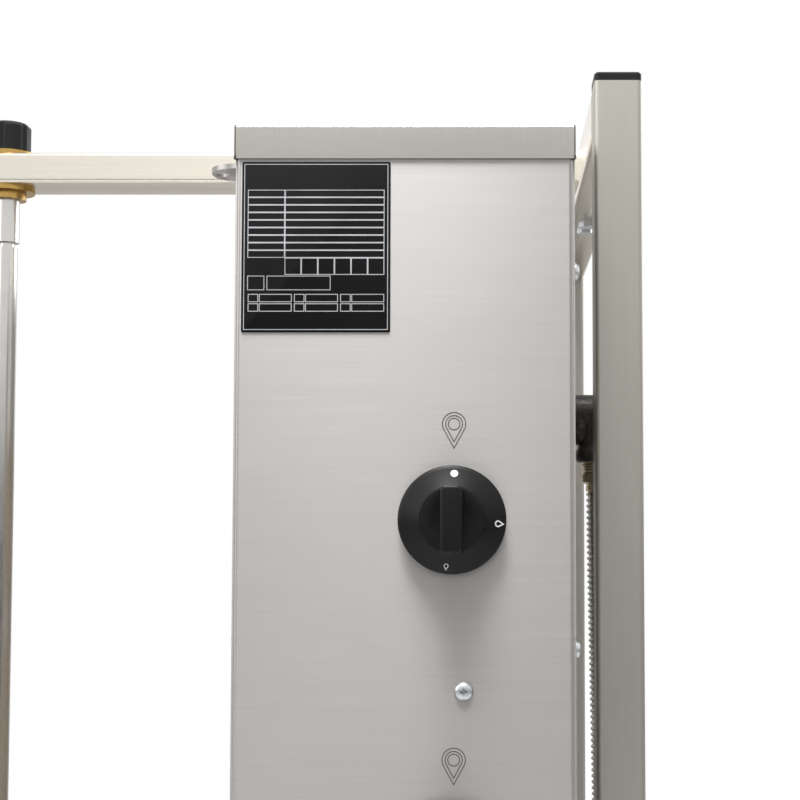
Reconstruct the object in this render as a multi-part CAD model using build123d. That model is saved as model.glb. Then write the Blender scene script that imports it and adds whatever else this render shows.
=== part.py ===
from build123d import *
import os
from math import cos, pi

# Gas doner kebab grill: a burner case that slides towards a bottom-driven spit.
# Millimetres. +Z is up, the spit side faces -Y and the gas controls are on the +X side.
# The origin is on the floor under the middle of the whole machine.

# Sheet and tube stock
SHEET = 1.5
BEND_R = 2.5
FLANGE = 22.0
COVER_SHEET = 1.2
TUBE = 30.0
TUBE_WALL = 2.0
TUBE_CORNER_R = 3.0

# Clearances
SLIDE_GAP = 0.3
RUN_GAP = 0.05
FIT_GAP = 0.1
SEAT_GAP = 0.3
HOLE_GAP = 0.5

# Base
BASE_WIDTH = 620.0
BASE_DEPTH = 720.0
BASE_HEIGHT = 110.0
FOOT_HEIGHT = 20.0
FOOT_R = 22.0
FOOT_PAD = 9.0
FOOT_NUT_R = 9.0
FOOT_STUD_R = 5.0
FOOT_STUD_OVER = 8.0
FOOT_INSET = 55.0

# Goal-post frame and arm
POST_GAP = 16.0
POST_RISE = 40.0
CAP_HEIGHT = 5.6
CAP_PLUG = 9.0
CAP_BEVEL = 1.2
ARM_WIDTH = 50.0
ARM_HEIGHT = 25.0
ARM_OVER = 45.0
ARM_BOLT_R = 4.0
ARM_BOLT_FLATS = 13.0
ARM_BOLT_HEAD = 5.5
ARM_BOLT_PITCH = 26.0

# Burner case
CASE_OVER = 38.0
CASE_DEPTH = 204.0
CASE_HEIGHT = 780.0
CASE_LIFT = 20.0
LID_DROP = 20.0
COVER_INSET = 3.0
SLOT_COUNT = 6
SLOT_LENGTH = 120.0
SLOT_WIDTH = 6.0
SLOT_PITCH = 18.0

# Controls on the side panel
BURNERS = 3
KNOB_DROP = 239.0
KNOB_FOOT = 141.0
KNOB_INSET = 73.0
KNOB_STANDOFF = 5.0
SKIRT_R = 32.4
SKIRT_EDGE = 4.0
SKIRT_RISE = 9.0
HUB_R = 20.0
HUB_HEIGHT = 17.0
GRIP_WIDTH = 15.0
KNOB_HEIGHT = 33.0
GRIP_BEVEL = 2.0
STEM_R = 4.0
STEM_IN_KNOB = 16.0
STEM_HOLE_R = 7.0
PUSH = 4.0
PLATE_WIDTH = 90.0
PLATE_HEIGHT = 104.0
PLATE_THICKNESS = 0.8
PLATE_INSET = 3.3
PLATE_DROP = 2.0
SCREW_DROP = 102.0
SCREW_SHIFT = 7.0
SCREW_HEAD_R = 5.7
SCREW_HEAD = 3.6
SCREW_R = 2.5
SCREW_LENGTH = 10.0
REAR_SCREW_DROP = 87.0
REAR_SCREW_INSET = 15.0
REAR_SCREW_ROWS = 3

# Wing hinge lugs
LUG_WIDTH = 37.0
LUG_REACH = 20.0
LUG_THICKNESS = 3.0
LUG_INSET = 10.5
LUG_HOLE_R = 4.5
LUG_HOLE_OUT = 13.0
LUG_CORNER_R = 8.0

# Burners, tiles and guard
BURNER_SIDE = 48.0
BURNER_GAP = 14.0
BURNER_DEPTH = 45.0
WINDOW_LIP = 7.0
TILE_COLUMNS = 4
TILE_ROWS = 2
TILE_DEPTH = 13.0
TILE_SETBACK = 2.0
TILE_GAP = 1.0
VENTURI_R = 14.0
VENTURI_FLARE_R = 20.0
VENTURI_FLARE = 24.0
VENTURI_LENGTH = 190.0
VENTURI_FOOT = 60.0
GUARD_THICKNESS = 3.0
GUARD_COLUMNS = 14
GUARD_ROWS = 7
GUARD_BAR = 3.0
GUARD_BORDER = 12.0

# Gas line
PIPE_R = 10.65
PIPE_BORE_R = 8.0
ELBOW_OUT = 20.0
ELBOW_CLEAR = 16.0
ELBOW_DROP = 169.0
ELBOW_ARM = 32.0
ELBOW_R = 12.6
BEAD_R = 14.4
BEAD_WIDTH = 13.0
THREAD_R = 10.48
SOCKET_DEPTH = 14.0
NIPPLE_SHOW = 7.0
NUT_FLATS = 20.0
NUT_HEIGHT = 7.0
SLEEVE_R = 7.6
SLEEVE_HEIGHT = 5.0
HOSE_CREST_R = 7.4
HOSE_VALLEY_R = 6.2
HOSE_BORE_R = 5.2
HOSE_RIBS = 48
HOSE_BORE_STEPS = 24
HOSE_BOW = 4.0
INLET_RISE = 25.0
INLET_DROP = 40.0
INLET_REACH = 24.0
INLET_COLLAR_R = 14.5
INLET_COLLAR = 6.0
INLET_PIPE_R = 9.0
INLET_FLANGE = 3.0
INLET_RELIEF = 2.0
VALVE_R = 14.0
VALVE_CLEAR = 8.0
BOSS_R = 12.0
BOSS_OUT = 18.0
CUP_R = 7.0
CUP_HEIGHT = 4.0
CUP_WELL = 16.0
FEED_R = 4.0
FEED_BEND = 22.0
INJECTOR_R = 7.0
INJECTOR = 12.0
MANIFOLD_TAIL = 18.0

# Slide under the case
RAIL_WIDTH = 20.0
RAIL_HEIGHT = 12.0
RAIL_LENGTH = 310.0
RAIL_INSET = 70.0
RAIL_SETBACK = 40.0
RUNNER_WALL = 5.0
RUNNER_LENGTH = 190.0

# Spit and drive
SPIT_SETBACK = 220.0
SPIT_R = 9.0
SPIT_TANG = 14.0
TANG_DEPTH = 24.0
SPIT_TOP_DROP = 50.0
DISC_R = 110.0
DISC_THICKNESS = 4.0
DISC_LIFT = 16.0
HUB_SLEEVE_R = 20.0
HUB_SLEEVE = 30.0
COUPLING_R = 26.0
COUPLING_HEIGHT = 30.0
COUPLING_LIFT = 12.0
SHAFT_R = 10.0
GEARBOX_WIDTH = 90.0
GEARBOX_DEPTH = 104.0
GEARBOX_HEIGHT = 52.0
MOTOR_R = 25.0
MOTOR_LENGTH = 110.0
BRACKET_RISE = 12.5
BRACKET_WIDTH = 150.0
BRACKET_FOOT = 22.0
BRACKET_SHEET = 3.0
BUSH_R = 15.0
BUSH_FLANGE_R = 22.0
BUSH_FLANGE = 4.0
BUSH_BELOW = 10.0
PIN_R = 10.0
PIN_SPIGOT_R = 6.0
PIN_SPIGOT = 34.0
PIN_SHOULDER = 4.0
PIN_KNOB_R = 18.0
PIN_KNOB = 25.0
PIN_KNOB_FLUTES = 6
PIN_KNOB_FLUTE_R = 4.0

# Drip pan, drawer and switch
PAN_R = 191.0
PAN_RIM = 11.0
PAN_DEPTH = 14.0
PAN_NECK_R = 16.0
PAN_NECK_RISE = 8.0
DRAIN_OUT = 140.0
DRAIN_R = 10.0
DRAIN_DROP = 8.0
DRAWER_WIDTH = 296.0
DRAWER_DEPTH = 146.0
DRAWER_HEIGHT = 48.0
DRAWER_LIFT = 17.0
DRAWER_LAP = 10.0
GUIDE_WIDTH = 18.0
PULL_REACH = 24.0
PULL_LENGTH = 110.0
PULL_BAR_R = 5.0
PULL_FOOT_R = 4.0
SWITCH_WIDTH = 30.0
SWITCH_HEIGHT = 24.0
SWITCH_BEZEL = 2.0
SWITCH_DEPTH = 22.0
SWITCH_WALL = 4.0
SWITCH_SETBACK = 110.0
ROCKER_HALF = 6.0
ROCKER_PROUD = 5.0
ROCKER_DISH = 2.4
ROCKER_BACK = 5.0
ROCKER_PIN_R = 1.5
ROCKER_PIN_SET = 3.0
ROCKER_TILT = 10.0
GLAND_INSET = 130.0
GLAND_FLATS = 22.0
GLAND_HEX = 7.0
GLAND_DOME_R = 9.5
GLAND_TAIL_R = 7.5
GLAND_BORE_R = 4.0

# Places worked out from the sizes above
LID_SHEET = COVER_SHEET
LID_OVER = LID_SHEET + SEAT_GAP
KNOB_REACH = KNOB_STANDOFF + KNOB_HEIGHT
MID_X = (LID_OVER - KNOB_REACH) / 2
MID_Y = (PULL_REACH - INLET_REACH) / 2
CASE_WIDTH = BASE_WIDTH + 2 * CASE_OVER
PANEL_X = MID_X + CASE_WIDTH / 2
BASE_FRONT = MID_Y - BASE_DEPTH / 2
BASE_REAR = MID_Y + BASE_DEPTH / 2
POST_Y = BASE_REAR - TUBE / 2
CASE_REAR = BASE_REAR - TUBE - POST_GAP
CASE_FRONT = CASE_REAR - CASE_DEPTH
FACE_Y = CASE_FRONT - COVER_SHEET
SPIT_Y = BASE_FRONT + SPIT_SETBACK
DECK_Z = BASE_HEIGHT
FLOOR_Z = FOOT_HEIGHT
CASE_Z = DECK_Z + CASE_LIFT
LID_Z = CASE_Z + CASE_HEIGHT
SKIN_TOP = LID_Z - LID_DROP - SEAT_GAP
POST_Z = LID_Z + POST_RISE
ARM_Z = POST_Z + ARM_HEIGHT
KNOB_Y = CASE_REAR - KNOB_INSET
KNOB_PITCH = (CASE_HEIGHT - KNOB_DROP - KNOB_FOOT) / (BURNERS - 1)
KNOB_ZS = [LID_Z - KNOB_DROP - k * KNOB_PITCH for k in range(BURNERS)]
BURNER_WIDTH = CASE_WIDTH - 2 * BURNER_SIDE
BURNER_HEIGHT = KNOB_PITCH - BURNER_GAP
GAS_X = MID_X + BASE_WIDTH / 2 - TUBE - ELBOW_CLEAR
HOSE_Y = CASE_REAR + ELBOW_OUT
ELBOW_Z = LID_Z - ELBOW_DROP
NIPPLE_END = ELBOW_Z - ELBOW_ARM - NIPPLE_SHOW
HOSE_TOP = NIPPLE_END - NUT_HEIGHT - SLEEVE_HEIGHT
INLET_TOP = DECK_Z + INLET_RISE
HOSE_FOOT = INLET_TOP + NUT_HEIGHT + SLEEVE_HEIGHT
INLET_Z = DECK_Z - INLET_DROP
SEAT_X = PANEL_X - SHEET - VALVE_CLEAR
SPIT_TOP = POST_Z - SPIT_TOP_DROP
COUPLING_Z = DECK_Z + COUPLING_LIFT
SPIT_SEAT = COUPLING_Z + COUPLING_HEIGHT
BRACKET_Z = FLOOR_Z + SHEET + BRACKET_RISE
SWITCH_X = MID_X + BASE_WIDTH / 2
SWITCH_Y = BASE_FRONT + SWITCH_SETBACK
GLAND_X = MID_X - BASE_WIDTH / 2 + GLAND_INSET
RAIL_SPREAD = BASE_WIDTH - 2 * RAIL_INSET
SWITCH_Z = (DECK_Z + FLOOR_Z) / 2
DRAWER_Z = FLOOR_Z + DRAWER_LIFT

UP = (0, 0, 1)
DOWN = (0, 0, -1)
OUT = (1, 0, 0)
INWARD = (-1, 0, 0)
REARWARD = (0, 1, 0)
FORWARD = (0, -1, 0)


def block(x, y, z):
    """A box from its low and high ends along X, Y and Z."""
    spans = (x, y, z)
    centre = [(low + high) / 2 for low, high in spans]
    return Pos(*centre) * Box(*[high - low for low, high in spans])


def rod(radius, start, axis, length):
    """A round bar from a start point along an axis."""
    return extrude(Plane(origin=start, z_dir=axis) * Circle(radius), amount=length)


def hex_bar(flats, start, axis, length):
    """A hexagonal bar from a start point along an axis, with a flat facing along Y."""
    plane = Plane(origin=start, x_dir=OUT, z_dir=axis)
    section = RegularPolygon(radius=flats / 2, side_count=6, major_radius=False, rotation=30)
    return extrude(plane * section, amount=length)


def rounded_tube(plane, width, height, length):
    """A rectangular tube with rounded corners, drawn from a plane along its normal."""
    outer = RectangleRounded(width, height, TUBE_CORNER_R)
    inner = RectangleRounded(width - 2 * TUBE_WALL, height - 2 * TUBE_WALL, TUBE_CORNER_R - TUBE_WALL)
    return extrude(plane * (outer - inner), amount=length)


def spread(low, high, count):
    """The low ends and the step of equal strips between two ends."""
    step = (high - low) / count
    return [low + i * step for i in range(count)], step


def mirrored(part):
    """The same piece on the other side of the machine's middle plane."""
    return mirror(part, about=Plane(origin=(MID_X, 0, 0), z_dir=OUT))


def around(middle, half):
    """The low and high ends about a middle."""
    return (middle - half, middle + half)


def feet():
    foot = rod(FOOT_R, (0, 0, 0), UP, FOOT_PAD)
    foot = chamfer(foot.edges().group_by(Axis.Z)[-1], FOOT_PAD / 3)
    foot += rod(FOOT_NUT_R, (0, 0, 0), UP, FOOT_HEIGHT)
    foot += rod(FOOT_STUD_R, (0, 0, 0), UP, FOOT_HEIGHT + SHEET + FOOT_STUD_OVER)
    return Part() + [Pos(x, y, 0) * foot for x, y in foot_places()]


def foot_places():
    across = BASE_WIDTH / 2 - FOOT_INSET
    along = BASE_DEPTH / 2 - FOOT_INSET
    return [(MID_X + i * across, MID_Y + j * along) for i in (-1, 1) for j in (-1, 1)]


def base_floor():
    inner_x = around(MID_X, BASE_WIDTH / 2 - SHEET)
    inner_y = around(MID_Y, BASE_DEPTH / 2 - SHEET)
    plate = block(inner_x, inner_y, (FLOOR_Z, FLOOR_Z + SHEET))
    for x, y in foot_places():
        plate -= rod(FOOT_STUD_R + HOLE_GAP, (x, y, FLOOR_Z), UP, SHEET)
    return plate


def base_front():
    wall = block(around(MID_X, BASE_WIDTH / 2), (BASE_FRONT, BASE_FRONT + SHEET), (FLOOR_Z, DECK_Z - SHEET))
    mouth_x = around(MID_X, DRAWER_WIDTH / 2 + 2 * SLIDE_GAP)
    mouth_z = (DRAWER_Z - SLIDE_GAP, DRAWER_Z + DRAWER_HEIGHT + 2 * SLIDE_GAP)
    return wall - block(mouth_x, (BASE_FRONT, BASE_FRONT + SHEET), mouth_z)


def base_rear():
    wall = block(around(MID_X, BASE_WIDTH / 2), (BASE_REAR - SHEET, BASE_REAR), (FLOOR_Z, DECK_Z - SHEET))
    wall -= rod(INLET_PIPE_R + HOLE_GAP, (GAS_X, BASE_REAR - SHEET, INLET_Z), REARWARD, SHEET)
    wall -= rod(GLAND_TAIL_R + FIT_GAP, (GLAND_X, BASE_REAR - SHEET, INLET_Z), REARWARD, SHEET)
    return wall


def base_sides():
    along = around(MID_Y, BASE_DEPTH / 2 - SHEET)
    right = block((SWITCH_X - SHEET, SWITCH_X), along, (FLOOR_Z, DECK_Z - SHEET))
    left = mirrored(right)
    hole_y = around(SWITCH_Y, SWITCH_WIDTH / 2 - SWITCH_BEZEL + FIT_GAP)
    hole_z = around(SWITCH_Z, SWITCH_HEIGHT / 2 - SWITCH_BEZEL + FIT_GAP)
    right -= block((SWITCH_X - SHEET, SWITCH_X), hole_y, hole_z)
    return right, left


def base_walls():
    """Four flat walls that meet edge to edge."""
    return Compound([base_front(), base_rear(), *base_sides()])


def base_deck():
    deck = block(around(MID_X, BASE_WIDTH / 2), around(MID_Y, BASE_DEPTH / 2), (DECK_Z - SHEET, DECK_Z))
    deck -= rod(PAN_R + HOLE_GAP, (MID_X, SPIT_Y, DECK_Z - SHEET), UP, SHEET)
    deck -= rod(INLET_PIPE_R + HOLE_GAP, (GAS_X, HOSE_Y, DECK_Z - SHEET), UP, SHEET)
    return deck


def drip_pan():
    floor = DECK_Z - PAN_DEPTH
    rim = DECK_Z + SHEET
    neck_top = DECK_Z + PAN_NECK_RISE
    outline = [
        (PAN_NECK_R, floor),
        (PAN_R, floor),
        (PAN_R, DECK_Z),
        (PAN_R + PAN_RIM, DECK_Z),
        (PAN_R + PAN_RIM, rim),
        (PAN_R - SHEET, rim),
        (PAN_R - SHEET, floor + SHEET),
        (PAN_NECK_R + SHEET, floor + SHEET),
        (PAN_NECK_R + SHEET, neck_top),
        (PAN_NECK_R, neck_top),
    ]
    pan = Pos(MID_X, SPIT_Y, 0) * revolve(Plane.XZ * make_face(Polyline(*outline, close=True)), Axis.Z)
    drain = (MID_X, SPIT_Y - DRAIN_OUT, floor - DRAIN_DROP)
    pan += rod(DRAIN_R + SHEET, drain, UP, DRAIN_DROP)
    return pan - rod(DRAIN_R, drain, UP, DRAIN_DROP + SHEET)


def drawer_guides():
    rest = DRAWER_Z - SLIDE_GAP
    side = MID_X + DRAWER_WIDTH / 2 + SLIDE_GAP
    along = (BASE_FRONT + SHEET, BASE_FRONT + SHEET + DRAWER_DEPTH)
    shelf = block((side - GUIDE_WIDTH, side + SHEET), along, (rest - SHEET, rest))
    web = block((side, side + SHEET), along, (FLOOR_Z + SHEET, rest + GUIDE_WIDTH))
    right = shelf + web
    return Part() + [right, mirrored(right)]


def grease_drawer():
    half = DRAWER_WIDTH / 2
    along = (BASE_FRONT, BASE_FRONT + DRAWER_DEPTH)
    tray = block(around(MID_X, half), along, (DRAWER_Z, DRAWER_Z + DRAWER_HEIGHT))
    inside = (BASE_FRONT + SHEET, BASE_FRONT + DRAWER_DEPTH - SHEET)
    tray -= block(around(MID_X, half - SHEET), inside, (DRAWER_Z + SHEET, DRAWER_Z + DRAWER_HEIGHT))
    front_z = (DRAWER_Z - DRAWER_LAP, DRAWER_Z + DRAWER_HEIGHT + DRAWER_LAP)
    front = block(around(MID_X, half + DRAWER_LAP), (BASE_FRONT - SHEET - SEAT_GAP, BASE_FRONT), front_z)
    lap_gap = block(around(MID_X, half + DRAWER_LAP), (BASE_FRONT - SEAT_GAP, BASE_FRONT), front_z)
    core_z = (DRAWER_Z, DRAWER_Z + DRAWER_HEIGHT)
    core = block(around(MID_X, half), (BASE_FRONT - SEAT_GAP, BASE_FRONT), core_z)
    return tray + (front - lap_gap) + core


def drawer_handle():
    face = BASE_FRONT - SHEET - SEAT_GAP
    bar_y = BASE_FRONT - PULL_REACH + PULL_BAR_R
    height = DRAWER_Z + DRAWER_HEIGHT / 2
    pull = rod(PULL_BAR_R, (MID_X - PULL_LENGTH / 2, bar_y, height), OUT, PULL_LENGTH)
    for side in (-1, 1):
        foot_x = MID_X + side * (PULL_LENGTH / 2 - 2 * PULL_BAR_R)
        pull += rod(PULL_FOOT_R, (foot_x, face, height), FORWARD, face - bar_y)
    return pull


def slide_rails():
    across = around(MID_X + RAIL_SPREAD / 2, RAIL_WIDTH / 2)
    end = BASE_REAR - RAIL_SETBACK
    rail = block(across, (end - RAIL_LENGTH, end), (DECK_Z, DECK_Z + RAIL_HEIGHT))
    rail = chamfer(rail.edges().filter_by(Axis.Y).group_by(Axis.Z)[-1], SHEET)
    return Part() + [rail, mirrored(rail)]


def runners():
    middle = MID_X + RAIL_SPREAD / 2
    start = (CASE_FRONT + CASE_REAR - RUNNER_LENGTH) / 2
    along = (start, start + RUNNER_LENGTH)
    outer = block(around(middle, RAIL_WIDTH / 2 + RUNNER_WALL), along, (DECK_Z + SHEET, CASE_Z))
    slot = block(around(middle, RAIL_WIDTH / 2 + SLIDE_GAP), along, (DECK_Z, DECK_Z + RAIL_HEIGHT + SLIDE_GAP))
    runner = outer - slot
    return Part() + [runner, mirrored(runner)]


def post(side):
    x = MID_X + side * (BASE_WIDTH - TUBE) / 2
    return rounded_tube(Plane(origin=(x, POST_Y, DECK_Z), z_dir=UP), TUBE, TUBE, POST_Z - DECK_Z)


def end_cap(plane, width, height):
    """A plastic plug with a bevelled head, seated on the end of a tube."""
    head = extrude(plane * RectangleRounded(width, height, TUBE_CORNER_R), amount=CAP_HEIGHT)
    along = Axis(plane.origin, plane.z_dir)
    head = chamfer(head.faces().sort_by(along)[-1].edges(), CAP_BEVEL)
    hollow = 2 * (TUBE_WALL + FIT_GAP)
    plug = RectangleRounded(width - hollow, height - hollow, TUBE_CORNER_R - TUBE_WALL)
    return head + extrude(plane * plug, amount=-CAP_PLUG)


def post_caps():
    places = [MID_X + side * (BASE_WIDTH - TUBE) / 2 for side in (-1, 1)]
    return Part() + [end_cap(Plane(origin=(x, POST_Y, POST_Z), z_dir=UP), TUBE, TUBE) for x in places]


def arm_bolt_places():
    return [(MID_X + side * ARM_BOLT_PITCH / 2, POST_Y) for side in (-1, 1)]


def crossbar():
    length = BASE_WIDTH - 2 * TUBE
    start = Plane(origin=(MID_X - length / 2, POST_Y, POST_Z - TUBE / 2), x_dir=REARWARD, z_dir=OUT)
    bar = rounded_tube(start, TUBE, TUBE, length)
    for x, y in arm_bolt_places():
        bar -= rod(ARM_BOLT_R + FIT_GAP, (x, y, POST_Z - TUBE), UP, TUBE)
    return bar


def arm_ends():
    return BASE_REAR, SPIT_Y - ARM_OVER


def spit_arm():
    rear, front = arm_ends()
    start = Plane(origin=(MID_X, rear, POST_Z + ARM_HEIGHT / 2), x_dir=OUT, z_dir=FORWARD)
    arm = rounded_tube(start, ARM_WIDTH, ARM_HEIGHT, rear - front)
    arm -= rod(BUSH_R + FIT_GAP, (MID_X, SPIT_Y, POST_Z), UP, ARM_HEIGHT)
    for x, y in arm_bolt_places():
        arm -= rod(ARM_BOLT_R + FIT_GAP, (x, y, POST_Z), UP, ARM_HEIGHT)
    return arm


def arm_caps():
    rear, front = arm_ends()
    middle = POST_Z + ARM_HEIGHT / 2
    rear_end = Plane(origin=(MID_X, rear, middle), x_dir=OUT, z_dir=REARWARD)
    front_end = Plane(origin=(MID_X, front, middle), x_dir=OUT, z_dir=FORWARD)
    return Part() + [end_cap(end, ARM_WIDTH, ARM_HEIGHT) for end in (rear_end, front_end)]


def arm_bolts():
    bolts = []
    for x, y in arm_bolt_places():
        under = POST_Z - TUBE
        bolt = hex_bar(ARM_BOLT_FLATS, (x, y, ARM_Z), UP, ARM_BOLT_HEAD)
        bolt += rod(ARM_BOLT_R, (x, y, under - ARM_BOLT_HEAD), UP, ARM_Z - under + ARM_BOLT_HEAD)
        bolt += hex_bar(ARM_BOLT_FLATS, (x, y, under), DOWN, ARM_BOLT_HEAD)
        bolts.append(bolt)
    return Part() + bolts


def top_bearing():
    bush = rod(BUSH_R, (MID_X, SPIT_Y, POST_Z - BUSH_BELOW), UP, BUSH_BELOW + ARM_HEIGHT)
    bush += rod(BUSH_FLANGE_R, (MID_X, SPIT_Y, ARM_Z), UP, BUSH_FLANGE)
    bush += rod(BUSH_FLANGE_R, (MID_X, SPIT_Y, POST_Z), DOWN, BUSH_FLANGE)
    length = BUSH_BELOW + ARM_HEIGHT + BUSH_FLANGE
    return bush - rod(PIN_R + RUN_GAP, (MID_X, SPIT_Y, POST_Z - BUSH_BELOW), UP, length)


def top_pin():
    shoulder = SPIT_TOP + PIN_SHOULDER
    top = ARM_Z + BUSH_FLANGE + SEAT_GAP + PIN_KNOB / 2
    pin = rod(PIN_R, (MID_X, SPIT_Y, shoulder), UP, top - shoulder)
    spigot = rod(PIN_SPIGOT_R, (MID_X, SPIT_Y, shoulder), DOWN, PIN_SPIGOT)
    spigot = chamfer(spigot.edges().group_by(Axis.Z)[0], PIN_SPIGOT_R / 3)
    return pin + spigot


def pin_knob():
    base = ARM_Z + BUSH_FLANGE + SEAT_GAP
    knob = rod(PIN_KNOB_R, (MID_X, SPIT_Y, base), UP, PIN_KNOB)
    knob = chamfer(knob.edges().group_by(Axis.Z)[-1], PIN_KNOB / 8)
    for place in PolarLocations(PIN_KNOB_R + PIN_KNOB_FLUTE_R / 2, PIN_KNOB_FLUTES):
        flute = place * Pos(0, 0, PIN_KNOB / 2) * Cylinder(PIN_KNOB_FLUTE_R, PIN_KNOB)
        knob -= Pos(MID_X, SPIT_Y, base) * flute
    return knob - rod(PIN_R + FIT_GAP, (MID_X, SPIT_Y, base), UP, PIN_KNOB / 2)


def spit_rod():
    bar = rod(SPIT_R, (MID_X, SPIT_Y, SPIT_SEAT), UP, SPIT_TOP - SPIT_SEAT)
    tang = around(MID_X, SPIT_TANG / 2), around(SPIT_Y, SPIT_TANG / 2)
    bar += block(*tang, (SPIT_SEAT - TANG_DEPTH, SPIT_SEAT))
    return bar - rod(PIN_SPIGOT_R + RUN_GAP, (MID_X, SPIT_Y, SPIT_TOP), DOWN, PIN_SPIGOT)


def spit_disc():
    base = (MID_X, SPIT_Y, SPIT_SEAT + SEAT_GAP)
    disc = rod(HUB_SLEEVE_R, base, UP, HUB_SLEEVE)
    disc += rod(DISC_R, (MID_X, SPIT_Y, SPIT_SEAT + DISC_LIFT), UP, DISC_THICKNESS)
    return disc - rod(SPIT_R + FIT_GAP, base, UP, HUB_SLEEVE)


def drive_coupling():
    foot = BRACKET_Z + SHEET
    drive = rod(COUPLING_R, (MID_X, SPIT_Y, COUPLING_Z), UP, COUPLING_HEIGHT)
    drive = chamfer(drive.edges().group_by(Axis.Z)[-1], SHEET)
    drive += rod(SHAFT_R, (MID_X, SPIT_Y, foot), UP, COUPLING_Z - foot)
    half = SPIT_TANG / 2 + FIT_GAP
    well = (SPIT_SEAT - TANG_DEPTH - FIT_GAP, SPIT_SEAT)
    return drive - block(around(MID_X, half), around(SPIT_Y, half), well)


def motor_bracket():
    rise = BRACKET_Z
    low = FLOOR_Z + SHEET
    half = BRACKET_WIDTH / 2
    outline = [
        (-half - BRACKET_FOOT, low),
        (-half + BRACKET_SHEET, low),
        (-half + BRACKET_SHEET, rise - BRACKET_SHEET),
        (half - BRACKET_SHEET, rise - BRACKET_SHEET),
        (half - BRACKET_SHEET, low),
        (half + BRACKET_FOOT, low),
        (half + BRACKET_FOOT, low + BRACKET_SHEET),
        (half, low + BRACKET_SHEET),
        (half, rise),
        (-half, rise),
        (-half, low + BRACKET_SHEET),
        (-half - BRACKET_FOOT, low + BRACKET_SHEET),
    ]
    start = Plane(origin=(MID_X, SPIT_Y + GEARBOX_DEPTH / 2, 0), x_dir=OUT, z_dir=FORWARD)
    return extrude(start * make_face(Polyline(*outline, close=True)), amount=GEARBOX_DEPTH)


def gear_motor():
    front, rear = around(SPIT_Y, GEARBOX_DEPTH / 2)
    box = block(around(MID_X, GEARBOX_WIDTH / 2), (front, rear), (BRACKET_Z, BRACKET_Z + GEARBOX_HEIGHT))
    box = fillet(box.edges().filter_by(Axis.Z), BEND_R * 3)
    box += rod(MOTOR_R, (MID_X, rear, BRACKET_Z + GEARBOX_HEIGHT / 2), REARWARD, MOTOR_LENGTH)
    return box - rod(SHAFT_R + RUN_GAP, (MID_X, SPIT_Y, BRACKET_Z), UP, GEARBOX_HEIGHT)


def cable_gland():
    outside = (GLAND_X, BASE_REAR, INLET_Z)
    gland = hex_bar(GLAND_FLATS, outside, REARWARD, GLAND_HEX)
    dome = rod(GLAND_DOME_R, outside, REARWARD, INLET_REACH)
    gland += chamfer(dome.edges().group_by(Axis.Y)[-1], GLAND_DOME_R / 3)
    tail = (GLAND_X, BASE_REAR - SHEET - GLAND_HEX, INLET_Z)
    gland += rod(GLAND_TAIL_R, tail, REARWARD, SHEET + GLAND_HEX)
    length = INLET_REACH + SHEET + GLAND_HEX
    return gland - rod(GLAND_BORE_R, (GLAND_X, BASE_REAR + INLET_REACH, INLET_Z), FORWARD, length)


def switch_housing():
    half_y = SWITCH_WIDTH / 2
    half_z = SWITCH_HEIGHT / 2
    bezel = block((SWITCH_X, SWITCH_X + SWITCH_BEZEL), around(SWITCH_Y, half_y), around(SWITCH_Z, half_z))
    body_y = around(SWITCH_Y, half_y - SWITCH_BEZEL)
    body_z = around(SWITCH_Z, half_z - SWITCH_BEZEL)
    case = bezel + block((SWITCH_X - SWITCH_DEPTH, SWITCH_X), body_y, body_z)
    well_x = (SWITCH_X - SWITCH_DEPTH + SWITCH_WALL, SWITCH_X + SWITCH_BEZEL)
    case -= block(well_x, around(SWITCH_Y, rocker_half_width() + SLIDE_GAP), around(SWITCH_Z, rocker_well()))
    pin_start = (SWITCH_X - ROCKER_PIN_SET, SWITCH_Y - rocker_pin_half(), SWITCH_Z)
    return case - rod(ROCKER_PIN_R + RUN_GAP, pin_start, REARWARD, 2 * rocker_pin_half())


def rocker_half_width():
    return SWITCH_WIDTH / 2 - SWITCH_BEZEL - SWITCH_WALL


def rocker_pin_half():
    return rocker_half_width() + SWITCH_WALL / 2


def rocker_well():
    return SWITCH_HEIGHT / 2 - SWITCH_WALL


def motor_rocker():
    pivot_x = SWITCH_X - ROCKER_PIN_SET
    proud = ROCKER_PROUD + ROCKER_PIN_SET
    outline = [
        (-ROCKER_BACK, 0),
        (0, -ROCKER_HALF),
        (proud, -ROCKER_HALF),
        (proud - ROCKER_DISH, 0),
        (proud, ROCKER_HALF),
        (0, ROCKER_HALF),
    ]
    width = rocker_half_width()
    start = Plane(origin=(0, width, 0), x_dir=OUT, z_dir=FORWARD)
    rocker = extrude(start * make_face(Polyline(*outline, close=True)), amount=2 * width)
    rocker += rod(ROCKER_PIN_R, (0, -rocker_pin_half(), 0), REARWARD, 2 * rocker_pin_half())
    return Pos(pivot_x, SWITCH_Y, SWITCH_Z) * Rot(0, ROCKER_TILT, 0) * rocker


def side_panel(side):
    """A folded panel: a flat side with a flange turned in along each upright edge."""
    outer = Pos(-FLANGE / 2, 0) * Rectangle(FLANGE, CASE_DEPTH)
    outer = fillet(outer.vertices().sort_by(Axis.X)[-2:], BEND_R)
    inner = Pos(-FLANGE / 2 - SHEET, 0) * Rectangle(FLANGE, CASE_DEPTH - 2 * SHEET)
    inner = fillet(inner.vertices().sort_by(Axis.X)[-2:], BEND_R - SHEET)
    start = Pos(PANEL_X, (CASE_FRONT + CASE_REAR) / 2, CASE_Z)
    panel = start * extrude(outer - inner, amount=CASE_HEIGHT - LID_SHEET)
    if side < 0:
        return mirrored(panel)
    return panel


def panel_screw_places():
    return [(KNOB_Y + SCREW_SHIFT, z - SCREW_DROP) for z in KNOB_ZS]


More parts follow.
